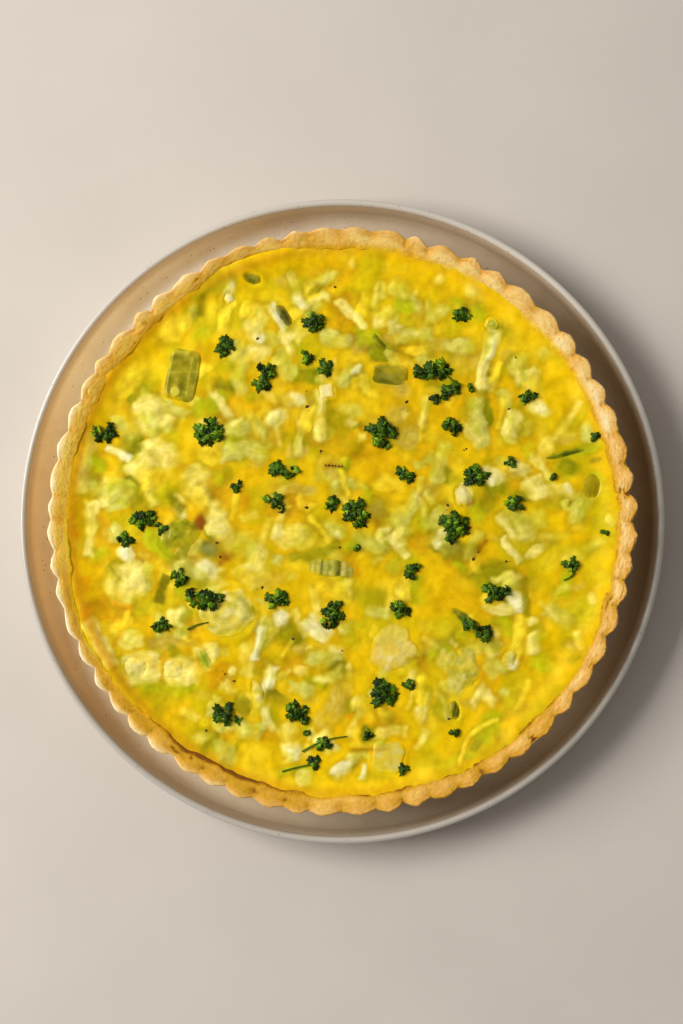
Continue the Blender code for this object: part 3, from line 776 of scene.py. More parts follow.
def glaze_material(settings):
    """Satin cream glaze with fine brown specks, thinner and paler on the lip."""
    recipe = Recipe("dish_glaze", coat_weight=0.35, coat_roughness=0.2, specular_ior_level=0.5)
    broad = recipe.noise(28.0, detail=3.0)
    cloud = recipe.noise(6.0, detail=4.0, roughness=0.6)
    tint = recipe.ramp(broad, (0.3, settings.glaze_warm), (0.7, settings.glaze_pale))
    tint = recipe.mix(1.0, tint, recipe.ramp(cloud, (0.3, 0.95), (0.7, 1.03)), "MULTIPLY")
    lip = recipe.attribute("lip", "Fac")
    tint = recipe.mix(lip, tint, linear(settings.glaze_lip))
    # Painted light and shade over the floor and lip.
    tint = recipe.mix(1.0, tint, recipe.attribute("kiln"), "MULTIPLY")
    for size, reach, share in ((2.4, 0.15, 0.6), (7.0, 0.07, 0.55)):
        near = recipe.ramp(recipe.cells(size), (reach * 0.5, 1.0), (reach, 0.0))
        chosen = recipe.maths("GREATER_THAN", recipe.cells(size, "Color"), share)
        tint = recipe.mix(recipe.maths("MULTIPLY", near, chosen), tint, linear((140, 110, 80)))
    recipe.into("Base Color", tint)
    recipe.into("Roughness", recipe.ramp(cloud, (0.3, 0.32), (0.7, 0.48)))
    recipe.relief(cloud, 0.15, 0.4)
    recipe.relief(recipe.noise(1.6), 0.05, 0.4)
    return recipe.material


def parsley_material():
    """Fresh curly parsley: dark green, lighter on the frills."""
    recipe = Recipe("parsley", specular_ior_level=0.2)
    fine = recipe.noise(1.1, detail=3.0)
    heat = recipe.maths("ADD", recipe.attribute("shade", "Fac"),
                        recipe.maths("MULTIPLY", recipe.maths("SUBTRACT", fine, 0.5), 0.6))
    greens = (0.0, (14, 28, 0)), (0.35, (36, 62, 0)), (0.7, (70, 108, 0)), (1.0, (132, 168, 20))
    recipe.into("Base Color", recipe.ramp(heat, *greens))
    recipe.into("Roughness", recipe.ramp(fine, (0.3, 0.38), (0.7, 0.6)))
    recipe.relief(fine, 0.25, 0.5)
    return recipe.material


def pepper_material():
    """Crushed peppercorn: near black skin and brown kernel."""
    recipe = Recipe("pepper", roughness=0.7)
    fine = recipe.noise(0.5, detail=3.0)
    browns = (0.3, (28, 12, 4)), (0.6, (78, 40, 14)), (0.8, (120, 80, 40))
    recipe.into("Base Color", recipe.ramp(fine, *browns))
    recipe.relief(fine, 0.15, 0.8)
    return recipe.material


# ---------------------------------------------------------------------------------------------
# The dish
# ---------------------------------------------------------------------------------------------

# Corners of the dish's profile: the outer edge of its lip, the inner one, and where its inner wall starts.
LIP_OUTER, LIP_INNER, WALL_INNER = 15, 18, 19
POINTS_PER_CORNER = 4
DISPLAY_GAMMA = 2.2


def dish_profile(settings):
    """Radius and height from the middle of the underside, out, up the wall, over the lip and back in."""
    rim, top = DISH_RADIUS, DISH_HIGH.z
    lip = settings.lip / MM
    wall = 0.85
    corners = [(20, 2.5), (84, 2.4), (88.2, 1.8), (89.2, 0.5), (90.4, 0.0), (93.6, 0.0), (94.8, 0.5),
               (96.5, 1.8), (110, 2.3), (124, 2.7), (rim - 9, 3.4), (rim - 5, 5.4),
               (rim - 2.2, 9.5), (rim - 0.9, 15),
               (rim - 0.25, top - 2.6), (rim, top - 1.5), (rim - 0.35, top - 0.5), (rim - 1.2, top),
               (rim - lip + 1.1, top), (rim - lip + 0.3, top - 0.6), (rim - lip, top - 1.6),
               (rim - lip - wall * 0.5, top - 5), (rim - lip - wall, 14), (rim - lip - 1.6, 10.5),
               (rim - lip - 4.2, 8.0), (rim - 12.5, 7.1), (114, 6.9), (60, 6.9), (20, 6.9)]
    return np.array(corners, dtype=float)


def rounded(corners, count):
    """A smooth curve through the corners of a profile, with count points to each stretch."""
    before = np.vstack([2 * corners[:1] - corners[1:2], corners[:-1]])
    after = np.vstack([corners[1:], 2 * corners[-1:] - corners[-2:-1]])
    slope = (after - before) / 2
    share = np.linspace(0, 1, count, endpoint=False)[:, None]
    curve = []
    for index in range(len(corners) - 1):
        start, end = corners[index], corners[index + 1]
        gap = np.linalg.norm(end - start)
        lean_in, lean_out = slope[index], slope[index + 1]
        lean_in = lean_in * gap / max(np.linalg.norm(lean_in), 1e-6)
        lean_out = lean_out * gap / max(np.linalg.norm(lean_out), 1e-6)
        leaving = (share ** 3 - 2 * share ** 2 + share) * lean_in
        near_start = (2 * share ** 3 - 3 * share ** 2 + 1) * start + leaving
        near_end = (3 * share ** 2 - 2 * share ** 3) * end + (share ** 3 - share ** 2) * lean_out
        curve.append(near_start + near_end)
    return np.vstack(curve + [corners[-1:]])


def painted_glaze_light(angle, tall, corner):
    """Red, green and blue factors of painted light and shade on the glaze: lighter on the floor towards the
    window, darker and duller in the pastry's shade across from it, and stretches of the floor and lip
    lightened and darkened to follow how the light falls.

    tall is the height of each point in mm, and corner is how far along the profile its row lies."""
    turn = np.degrees(angle)[None, :]
    # Painted light and shade: the floor lighter towards the window and darker and duller where the pastry
    # shades it.
    pale = bump(turn, 140, 35)
    shaded_side = np.maximum(bump(turn, 0, 28), bump(turn, 360, 28))
    floor = 0.95 + 0.2 * np.cos(angle - 2.6) - 0.14 * bump(turn, 85, 30) + 0.28 * bump(turn, 318, 20)
    rim = 1 - 0.13 * bump(turn, 208, 45) + 0.12 * bump(turn, 45, 25) + 0.16 * bump(turn, 318, 20)
    upper = smooth(9, 20, tall)
    channels = [floor * (1 + lighter * pale - duller * shaded_side) * (1 - upper) + rim * upper
                for lighter, duller in ((0.05, 0.0), (0.16, 0.1), (0.34, 0.22))]
    within = smooth(LIP_OUTER, LIP_INNER, corner)[:, None, None]
    return (1 + (np.stack(channels, axis=-1) - 1) * within) ** DISPLAY_GAMMA


def make_dish(settings):
    profile = rounded(dish_profile(settings), POINTS_PER_CORNER)
    radius, height = profile[:, :1], profile[:, 1:]
    corner = np.arange(len(profile)) / POINTS_PER_CORNER
    steps = 288
    angle = np.arange(steps) * tau / steps

    # Throwing ridges inside the wall, and a rim that is a little out of round and out of level.
    inside = smooth(WALL_INNER, WALL_INNER + 1 / POINTS_PER_CORNER, corner)[:, None]
    ridges = settings.ridges / MM * np.sin(height * tau / 3.4 + 0.4 * np.sin(angle * 3))
    walled = bump(height, 15, 6) * (radius > DISH_RADIUS - 9)
    radius = radius + walled * inside * ridges + 0.12 * smooth(4, 20, height) * np.sin(2 * angle + 0.6)
    radius = np.minimum(radius, DISH_RADIUS)
    height = height + smooth(16, 24, height) * (0.18 * np.sin(3 * angle + 1) - 0.18)
    dish = lathe("dish_glazed", radius, height, steps, glaze_material(settings))
    tall = np.broadcast_to(height, (len(profile), steps))
    top = DISH_HIGH.z
    lip = 0.7 * smooth(top - 3.4, top - 1.4, tall) + 0.3 * smooth(7, top - 4, tall)
    store(dish, "lip", lip.ravel())
    # Painted light and shade of the glaze, one colour factor per point.
    store(dish, "kiln", painted_glaze_light(angle, tall, corner).reshape(-1, 3))
    finish_piece(dish, "dish_glaze", "dish")


# ---------------------------------------------------------------------------------------------
# The pastry case
# ---------------------------------------------------------------------------------------------

# Where the custard's edge bows out or in: angle and width in degrees, and distance in mm.
EDGE_BOWS = (
    (110, 8, 2.6), (205, 12, 3.2), (325, 25, 1.1), (54, 8, -1.0), (289, 6, -1.2),
    (141, 9, -1.1), (343, 3, -0.9), (165, 10, 0.5),
)


def crust_inner_edge(angle):
    """Radius of the line where the custard meets the pastry, in mm."""
    turn = np.degrees(angle) % 360
    edge = 116.3 + 0.45 * ripple(turn, 0 * turn, 5, 31, 2, around=72)
    edge = edge + 0.25 * ripple(turn, 0 * turn, 1.5, 32, around=240)
    for middle, width, bow in EDGE_BOWS:
        edge = edge + bow * bump(turn, middle, width)
    return edge


# Marks in the pastry: angle and width in degrees, place and spread as shares of the way inward,
# browning, and rise in mm.
CRUST_MARKS = (
    (6, 0.35, 0.3, 0.5, 0.12, -1.5), (312, 0.45, 0.1, 0.3, 0.15, -1.8), (343.5, 2.2, 0.66, 0.1, 0.42, -0.7),
    (345.5, 1.2, 0.82, 0.1, 0.3, -0.5), (339.5, 0.6, 0.5, 0.15, 0.15, -0.6),
    (347.5, 0.5, 0.45, 0.2, 0.2, -0.6), (76, 2.0, 0.6, 0.3, 0.2, -0.4), (135, 0.5, 0.55, 0.12, 0.4, -0.2),
    (122, 0.5, 0.5, 0.12, 0.4, -0.2), (154, 0.5, 0.35, 0.12, 0.35, -0.2), (237, 0.4, 0.6, 0.1, 0.3, -0.2),
    (233, 0.4, 0.55, 0.1, 0.3, -0.2), (1, 1.4, 0.5, 0.2, 0.2, -0.3),
)


def crust_marks(turn, share):
    """Extra browning and relief of single marks, by angle in degrees and by share of the way inward."""
    brown = np.zeros_like(turn)
    rise = np.zeros_like(turn)
    frayed = turn + 0.9 * ripple(share * 5, turn * 0.4, 1, 51, 2)
    inner = share + 0.09 * ripple(turn, share * 4, 1.1, 52, 2)
    for middle, width, inward, spread, colour, height in CRUST_MARKS:
        there = bump(frayed, middle, width) * bump(inner, inward, spread)
        brown = brown + colour * there
        rise = rise + height * there
    return brown, rise


# Height in mm where the pastry's inner slope meets the custard, and the radius its crumbs are measured at.
SLOPE_FOOT = 35.0
CRUMB_RADIUS = 105


def case_profile(angle, settings):
    """Radius and height of the unfluted case, up the wall, over the lip and down below the custard.

    The third grid is the share of the way inward: 0 on the wall and 1 at the custard."""
    outside, over, under = 16, 44, 6
    top, foot = CRUST_HIGH.z, CRUST_LOW.z
    edge = crust_inner_edge(angle)[None, :]
    steps = len(angle)
    up = np.linspace(0, 1, outside)[:, None]
    wall_z = foot + 0.4 + (top - foot - 1.6) * up
    wall_r = CRUST_RADIUS - settings.draft / MM * (1 - up) ** 1.1 - 0.5 * bump(up, 0, 0.06)

    share = np.linspace(0, 1, over)[:, None] ** 1.15
    outer = np.full_like(edge, CRUST_RADIUS)
    slope_r = outer + (edge - outer) * share * 1.12
    slope_z = top - (top - SLOPE_FOOT) * (0.5 * (1.12 * share) ** 1.7 + 0.45 * smooth(0.9, 1.0, share))
    round_off = np.sqrt(np.clip(1 - ((share - 0.10) / 0.10).clip(-1, 0) ** 2, 0, 1))
    slope_z = slope_z - (1 - round_off) * settings.lip / MM

    down = np.linspace(0.2, 1, under)[:, None]
    inner_r = edge - 1.3 - 6.0 * down
    inner_z = slope_z[-1:] - (slope_z[-1:] - FILL_LOW.z + 0.3) * down
    radius = np.vstack([np.broadcast_to(wall_r, (outside, steps)), slope_r, inner_r])
    height = np.vstack([np.broadcast_to(rows, (len(rows), steps)) for rows in (wall_z, slope_z, inner_z)])
    return radius, height, np.vstack([np.zeros_like(up), share, np.ones_like(down)])


def roughen(points, angle, share):
    """Gives the fluted case its hand-made unevenness, crumbs, chips, cracks and marks.

    Returns radius and height, and what its tint follows: marks, cracks and distances over the surface."""
    top = CRUST_HIGH.z
    radius, height = np.hypot(points[..., 0], points[..., 1]), points[..., 2]
    turn = np.broadcast_to(np.degrees(angle)[None, :], radius.shape)
    rough = 0.35 + 0.65 * np.maximum(bump(turn, 350, 60), bump(turn, -10, 60))
    away = CRUMB_RADIUS * np.broadcast_to(angle, radius.shape)
    brown, rise = crust_marks(turn, share)
    sway = 0.5 * ripple(turn, height * 0.3, 8, 41, 2, around=45)
    travel = CRUST_RADIUS - radius + top - height
    crumbs = rough * (0.24 * ripple(away, travel, 1.6, 42, 2) + 0.16 * ripple(away, travel, 0.7, 43))
    chips = rough * np.maximum(ripple(away, travel, 2.4, 44, 2) - 0.45, 0) * 1.5
    broken_zone = smooth(0.7, 0.95, rough) * smooth(0.05, 0.5, ripple(away, travel, 7, 53, 2))
    cracks = broken_zone * bump(ripple(away, travel * 1.2, 3.6, 54, 2), 0, 0.07) * (share > 0)

    skin = np.where(share < 0.12, crumbs + chips, 0)
    radius = radius + (sway + skin) * (1 - smooth(0.7, 1, share))
    radius = radius + (0.1 - 1.0 * bump(turn, 130, 25)) * (1 - smooth(0.3, 1, share))
    upper = smooth(top - 14, top - 1, height)
    tilt = 0.35 * ripple(turn, 0 * turn, 11, 45, 2, around=32) - 0.35
    crumbled = np.where(share > 0.02, crumbs * 0.8, 0)
    height = height + upper * (tilt + crumbled + rise * (share > 0.01) - 0.35 * cracks)
    radius = radius + 0.7 * bump(turn, 3.2, 2.4) * (turn < 6) * upper
    height = np.minimum(height, top)
    radius = np.minimum(radius, CRUST_RADIUS + 0.6)
    return radius, height, (brown, cracks, away, travel)


def baked_tint(settings, angle, share, radius, height, marks):
    """8-bit colours of the case: a pale lip, golden scoops and darker cracks, with painted light and shade:
    the lip paler on the lit left, shade in the flute valleys, highlights on the crests, and a band at the
    custard, partly browning, darker on the lit right and lighter and more saturated on the shaded left.
    """
    brown, cracks, away, travel = marks
    turn = np.broadcast_to(np.degrees(angle)[None, :], radius.shape)
    hollow = 1 - np.abs(np.sin(angle * settings.flutes / 2))[None, :]
    right = 0.5 + 0.5 * np.cos(np.radians(turn))
    left = 1 - right
    rim, middle, inner = bump(share, 0.08, 0.2), bump(share, 0.5, 0.24), smooth(0.62, 0.9, share)
    below = bump(turn, 275, 45)
    # Painted light and shade round the case: the lip paler on the left, where the window lights it, and the
    # bands inside it lighter or darker by side.
    bake = 0.47 + rim * (0.1 * right - 0.2 * left - 0.34 * bump(turn, 205, 34)) + 0.08 * below + brown
    bake = bake + middle * (0.2 * bump(turn, 236, 26) - 0.16 * right - 0.16 * bump(turn, 165, 30))
    bake = bake + inner * (0.1 + 0.14 * right + 0.22 * below - 0.3 * bump(turn, 60, 16))
    bake = bake + inner * (0.2 * bump(turn, 120, 16) + 0.3 * bump(turn, 240, 16))
    bake = bake + 0.14 * bump(turn, 300, 20) - 0.1 * bump(turn, 45, 25)
    # Painted shade in the flute valleys; the cracks darker.
    bake = bake + 0.24 * hollow ** 1.5 * (1 - smooth(0.35, 0.9, share)) + 0.2 * cracks
    # Painted highlight on the crests at the outer edge.
    bake = bake - 0.08 * (1 - hollow) * bump(share, 0.03, 0.1)
    bake = bake + 0.18 * ripple(turn, radius, 5, 46, 3, around=72) + 0.06 * ripple(away, travel, 1.8, 48, 2)
    bake = np.where(share <= 0, 0.34 + 0.12 * ripple(away, height, 9, 47, 2), bake)
    stops = (0, 0.3, 0.55, 0.8, 1)
    shades = np.array([(252, 236, 196), settings.pale[:], settings.golden[:], (204, 154, 32), (122, 72, 12)])
    tint = np.stack([np.interp(bake, stops, channel) for channel in shades.T], axis=-1)
    # Painted bounced light: the band at the custard made more saturated and, on the shaded left, lighter.
    tint[..., 2] *= 1 - np.clip(0.6 * inner + 0.4 * left * middle, 0, 0.8) * (share > 0)
    tint *= (1 + (0.1 * left + 0.22 * bump(turn, 200, 26)) * inner)[..., None]
    return np.clip(tint, 0, 255)


def make_crust(settings):
    steps = 1200
    angle = np.arange(steps) * tau / steps
    turn = np.degrees(angle)[None, :]
    radius, height, flat = case_profile(angle, settings)
    crust = lathe("crust_baked", radius, height, steps, None)

    # Flutes, uneven in depth, that fade out over the lip and scoop its top.
    uneven = np.clip(1.15 + 0.55 * ripple(turn, 0 * turn, 5, 33, 2, around=72), 0.75, 1.6)
    shares = {
        "flute_share": (1 - smooth(0.0, 0.62, flat)) * uneven,
        "scoop_share": -0.48 * bump(flat, 0.2, 0.3) * (flat > 0) * uneven,
    }
    for label, values in shares.items():
        store(crust, label, values.ravel())
    fluting = flute_tree(pastry_material())
    fluting.run_on(crust, count=settings.flutes, depth=settings.flute_depth, pinch=settings.pinch)
    for label in shares:
        crust.data.attributes.remove(crust.data.attributes[label])

    points = np.empty(len(crust.data.vertices) * 3)
    crust.data.vertices.foreach_get("co", points)
    points = points.reshape(len(flat), steps, 3) / MM
    share = np.broadcast_to(flat, points.shape[:2])
    radius, height, marks = roughen(points, angle, share)
    shifted = angle + 0.017 * ripple(turn[0], 0 * turn[0], 7.2, 34, 2, around=50)
    points = np.stack([radius * np.cos(shifted), radius * np.sin(shifted), height], axis=-1)
    crust.data.vertices.foreach_set("co", (points * MM).ravel())
    crust.data.update()
    tint = baked_tint(settings, angle, share, radius, height, marks)
    store(crust, "tint", linear(tint).reshape(-1, 3))
    finish_piece(crust, "pastry", "crust")


# ---------------------------------------------------------------------------------------------
# The custard
# ---------------------------------------------------------------------------------------------

class Morsel:
    """Where a solid of leek or cheese lies: middle, half sizes, turn, top and bottom, in mm."""

    def __init__(self, name):
        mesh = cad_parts[name].data
        flat = np.empty(len(mesh.vertices) * 3)
        mesh.vertices.foreach_get("co", flat)
        points = flat.reshape(-1, 3) / MM
        tightest = None
        for degrees in range(-45, 135):
            along, across = turned(points[:, 0], points[:, 1], radians(degrees))
            area = np.ptp(along) * np.ptp(across)
            if np.ptp(along) >= np.ptp(across) and (tightest is None or area < tightest[0] - 0.01):
                tightest = (area, radians(degrees), along, across)
        _, self.turn, along, across = tightest
        self.name = name
        self.half_length = np.ptp(along) / 2
        self.half_width = np.ptp(across) / 2
        middle = (along.max() + along.min()) / 2, (across.max() + across.min()) / 2
        self.x, self.y = turned(*middle, -self.turn)
        self.top = points[:, 2].max()
        self.bottom = points[:, 2].min()
        self.pattern, self.slot, self.light, self.dark, self.veil, self.square = FINISHES[name]

    def inside(self, x, y):
        """How far inside the piece's outline a place is, as a share of the way and in mm."""
        along, across = turned(x - self.x, y - self.y, self.turn)
        share = ((np.abs(along) / self.half_length) ** self.square
                 + (np.abs(across) / self.half_width) ** self.square) ** (1 / self.square)
        return (1 - share) * min(self.half_length, self.half_width)


MORSELS = [Morsel(name) for name in FINISHES]


def custard_level(x, y):
    """The slow swell of the custard's surface, which passes PROUD below the top of every piece in it."""
    mean = FILL_HIGH.z - 0.35
    total = np.full_like(x, 0.15 * mean)
    weight = np.full_like(x, 0.15)
    for morsel in MORSELS:
        near = np.exp(-((x - morsel.x) ** 2 + (y - morsel.y) ** 2) / 18 ** 2)
        total += near * (morsel.top - PROUD)
        weight += near
    return total / weight


def small_patches(seed, count):
    """Small faint patches between the larger ones, fewer towards the edge and none where it is calm."""
    chance = np.random.default_rng(seed)
    colours = ("cream", "pale", "bright", "lime", "white", "tan", "green", "deep")
    likely = (0.22, 0.22, 0.14, 0.16, 0.05, 0.05, 0.08, 0.08)
    for _ in range(count):
        distance = FILL_RADIUS * 0.97 * np.sqrt(chance.random())
        angle = tau * chance.random()
        colour = chance.choice(colours, p=likely)
        length = chance.uniform(3.5, 12)
        width = length * chance.uniform(0.35, 0.85)
        turn, clear = chance.uniform(0, 180), chance.uniform(0.25, 0.55)
        shape = ("oval", "slab", "arc")[chance.integers(3)]
        x, y = distance * cos(angle), distance * sin(angle)
        kept = chance.random() > smooth(88, 112, distance) * 0.75
        calm = any(np.hypot(x - cx, y - cy) < reach for cx, cy, reach in CALM)
        if kept and not calm:
            yield colour, (shape, x, y, length, width, turn, clear)


def custard_surface(x, y, settings):
    """Height in mm and 8-bit tint of the baked custard at places, and how far each is under a piece."""
    far = np.hypot(x, y)
    tint = np.tile(np.array(COLOURS["yolk"], dtype=float), (len(x), 1))
    for colour, cell, seed, most in (("amber", 24, 1, 0.22), ("bright", 9, 2, 0.6), ("lime", 12, 12, 0.4)):
        share = smooth(0.0, 0.8, ripple(x, y, cell, seed, 2))[:, None] * most
        tint = tint * (1 - share) + np.array(COLOURS[colour]) * share
    lift = np.zeros_like(x)
    warp_x = 1.3 * ripple(x, y, 5.5, 3, 2) + 0.4 * ripple(x, y, 2, 4)
    warp_y = 1.3 * ripple(x, y, 5.5, 5, 2) + 0.4 * ripple(x, y, 2, 6)
    mottle = ripple(x, y, 3.2, 7, 2)
    cloudy = ripple(x, y, 6.5, 14, 2)
    leafy = smooth(0.0, 0.9, ripple(x, y, 5.5, 10, 2)) * 0.45
    shadow = np.array((0.78, 0.76, 0.25))
    patches = [(colour, patch) for colour, group in VEILED.items() for patch in group]
    order = list(RISE)
    patches += list(small_patches(11, settings.flecks))
    patches.sort(key=lambda entry: order.index(entry[0]))
    for colour, (shape, px, py, length, width, turn, clear) in patches:
        reach = length * 0.75 + width * 0.5 + 2
        near = places_near(x, y, px, py, reach)
        if not len(near):
            continue
        loose = min(1.0, 0.25 + min(length, width) / 6)
        loose_x, loose_y = warp_x[near] * loose, warp_y[near] * loose
        along, across = turned(x[near] - px + loose_x, y[near] - py + loose_y, radians(turn))
        deep = depth_in(shape, along, across, length / 2, width / 2)
        small = min(length, width)
        soft = (0.6 + 0.12 * small) * (0.95 - 0.6 * np.clip(cloudy[near], -0.9, 0.9))
        slim = 0.65 + 0.35 * smooth(2, 5, small)
        cover = smooth(-soft, soft, deep)
        shown = cover * min(0.97, clear * settings.clearness * slim)
        shown = shown * (1 + 0.25 * mottle[near] + 0.35 * cloudy[near])
        shade = np.array(COLOURS[colour])[None, :] * (1 + 0.06 * mottle[near][:, None])
        if colour in ("pale", "cream", "white"):
            other = leafy[near][:, None]
            shade = shade * (1 - other) + np.array(COLOURS["lime"]) * other
        layer = deep if shape == "oval" else across
        veins = np.sin(layer * tau / 2.3 + 3 * mottle[near] + 2 * cloudy[near])
        shade = shade * (1 + (veins * smooth(1.5, 4, small))[:, None] * VEINS)
        # Painted shade: a darker olive ring round the edge of each patch.
        edge_shade = clear * 0.45 * bump(deep, -0.5 * soft, 1.1)[:, None]
        tint[near] = tint[near] * (1 - edge_shade) + tint[near] * shadow * edge_shade
        shown = np.clip(shown, 0, 1)[:, None]
        tint[near] = tint[near] * (1 - shown) + shade * shown
        dome = smooth(-soft, soft + 0.45 * small, deep)
        lift[near] += RISE[colour] * dome * (0.3 + 0.7 * clear) * (0.3 + 0.7 * smooth(2, 8, small))
    lift = 1.7 * np.tanh(lift / 1.7)
    relief = settings.relief / MM
    height = custard_level(x, y) - 0.45 + lift * relief
    height += relief * (0.45 * ripple(x, y, 9, 8, 2) + 0.14 * mottle)
    under = np.zeros_like(x)
    for morsel in MORSELS:
        reach = morsel.half_length + 6
        near = places_near(x, y, morsel.x, morsel.y, reach)
        if not len(near):
            continue
        deep = morsel.inside(x[near], y[near])
        level = morsel.top - PROUD - 0.4
        settle = smooth(-1.5, 0.3, deep)
        height[near] = height[near] * (1 - settle) + level * settle
        small = min(morsel.half_length, morsel.half_width)
        under[near] = np.maximum(under[near], smooth(0.2 * small, 0.5 * small + 0.4, deep))
    rim = smooth(FILL_RADIUS - 12, FILL_RADIUS + 2, far)
    height = height + 2.45 * rim ** 2
    tint = tint * (0.988 + 0.04 * smooth(60, 105, far))[:, None]
    # A darker amber ring where the custard meets the pastry, partly browning and partly painted shade,
    # stronger on the left where the pastry shades it.
    browned_shaded_ring = (bump(far, FILL_RADIUS + 0.4, 2.6) * (0.4 - 0.3 * x / np.maximum(far, 1)))[:, None]
    tint = tint * (1 - browned_shaded_ring) + np.array((196, 132, 10)) * browned_shaded_ring
    return height, np.clip(tint, 0, 255), under


def resting_height(x, y, settings):
    """Height of the custard, or of the piece that stands out of it, in mm."""
    height, _, under = custard_surface(x, y, settings)
    return height + PROUD * under


def disc_grid(count, radius):
    """x and y of a square grid of points bent to a disc, with cells of equal area."""
    side = np.linspace(-1, 1, count + 1)
    u, v = np.meshgrid(side, side)
    wide = np.abs(u) >= np.abs(v)
    reach = np.where(wide, u, v)
    ratio = np.where(wide, v, u) / np.where(reach == 0, 1, reach)
    turn = np.where(wide, pi / 4 * ratio, pi / 2 - pi / 4 * ratio)
    return radius * reach * np.cos(turn), radius * reach * np.sin(turn)


def blurred(grid, passes):
    """A grid of values, each averaged with its neighbours this many times."""
    for _ in range(passes):
        grid = np.pad(grid, 1, mode="edge")
        grid = (grid[:-2] + 2 * grid[1:-1] + grid[2:]) / 4
        grid = (grid[:, :-2] + 2 * grid[:, 1:-1] + grid[:, 2:]) / 4
    return grid


# How far the custard's surface runs on under the pastry, in mm.
TUCK = 4.0


def make_custard(settings):
    count = 306
    across = count + 1
    x, y = disc_grid(count, FILL_RADIUS + TUCK)
    x, y = x.ravel(), y.ravel()
    height, tint, under = custard_surface(x, y, settings)
    level = height.reshape(across, across)
    # Painted shade in the custard's hollows and painted highlight on its crests.
    hollow = ((blurred(level, 18) - level) / 0.55).ravel()[:, None]
    hollow_shade = np.clip(hollow, 0, 1) * smooth(FILL_RADIUS, FILL_RADIUS - 6, np.hypot(x, y))[:, None]
    tint = tint * (1 - 0.45 * hollow_shade) + tint * np.array((0.62, 0.58, 0.1)) * 0.45 * hollow_shade
    tint = np.minimum(tint * (1 + 0.06 * np.clip(-hollow, 0, 1)), 255)
    border = border_of(across)
    points = [np.stack([x, y, height - 1.2 * under], axis=-1)]
    faces = grid_faces(across, across)
    upper = border
    for radius, z in ((FILL_RADIUS + 1.5, FILL_HIGH.z - 4), (FILL_RADIUS - 4.6, FILL_LOW.z + 0.2)):
        shrink = radius / (FILL_RADIUS + TUCK)
        points.append(np.stack([x[border] * shrink, y[border] * shrink, np.full(len(border), z)], axis=-1))
        tint = np.vstack([tint, np.tile(COLOURS["yolk"], (len(border), 1))])
        lower = np.arange(len(border)) + sum(len(group) for group in points[:-1])
        faces += band(lower, upper)
        upper = lower
    faces.append(upper[::-1].tolist())
    material = wet_food("custard", settings, 0.15, 0)
    custard = new_object("custard_baked", np.vstack(points), faces, material)
    store(custard, "tint", linear(tint))
    finish_piece(custard, "custard", "filling")


# ---------------------------------------------------------------------------------------------
# Leek and cheese that stand out of the custard
# ---------------------------------------------------------------------------------------------

def pattern_of(morsel, along, across, share):
    """How light each place of a piece is, from 0 to 1, and its relief in mm."""
    seed = 60 + list(FINISHES).index(morsel.name)
    cloud = ripple(along, across, 2.4, seed, 2)
    fine = ripple(along, across, 1.0, seed + 40)
    if morsel.pattern == "ridged":
        wave = np.sin(across * tau / 2.2 + 0.5 * cloud)
        return 0.5 + 0.22 * wave + 0.3 * cloud, 0.1 * wave
    long, wide = morsel.half_length, morsel.half_width
    if morsel.pattern == "celled":
        crease = np.maximum(bump(across, -0.4 * wide, 0.35), bump(along + 0.2 * across, 0.1 * long, 0.4))
        crease = np.maximum(crease, 0.8 * bump(share, 0.8, 0.07))
        knob = smooth(2.7, 1.1, np.hypot(along + 0.6 * long, across - 0.25 * wide))
        light = 0.34 + 0.3 * cloud + 0.25 * crease - 0.25 * smooth(0.84, 0.95, share) + 0.6 * knob
        return light, 0.6 * knob + 0.08 * crease
    if morsel.pattern == "segmented":
        gap = bump(along, 0.35 * long, 0.9) + 0.45 * bump(along + 0.3 * cloud, -0.35 * long, 0.5)
        streak = np.sin(along * tau / 2.7 + 1.5 * cloud)
        return 0.8 - 0.8 * gap + 0.12 * streak + 0.25 * cloud, -0.6 * gap + 0.08 * streak
    if morsel.pattern == "folded":
        crease = along * 0.35 + across + 0.4 * cloud
        lobe = np.tanh(crease / 0.8)
        return 0.5 + 0.3 * lobe + 0.2 * cloud, 0.3 * lobe - 0.4 * bump(crease, 0, 0.6)
    if morsel.pattern == "bubbled":
        bead = ripple(along, across, 3.0, seed + 9)
        return 0.45 + 0.4 * smooth(0.1, 0.7, bead) + 0.2 * fine, 0.3 * smooth(0, 0.7, bead)
    if morsel.pattern == "ringed":
        wave = np.sin(share * tau * 2.6 + 0.6 * cloud)
        return 0.55 + 0.22 * wave + 0.3 * cloud, 0.12 * wave
    if morsel.pattern == "browned":
        one_end = smooth(-0.2, 0.9, (along - across) / long)
        scorched = smooth(0.55, 1.0, share + 0.35 * cloud) * one_end
        return 0.95 - 0.9 * scorched + 0.1 * fine, 0.15 * cloud
    if morsel.pattern == "mottled":
        return 0.55 + 0.45 * cloud + 0.15 * fine, 0.25 * cloud
    return 0.6 + 0.35 * cloud, 0.1 * cloud


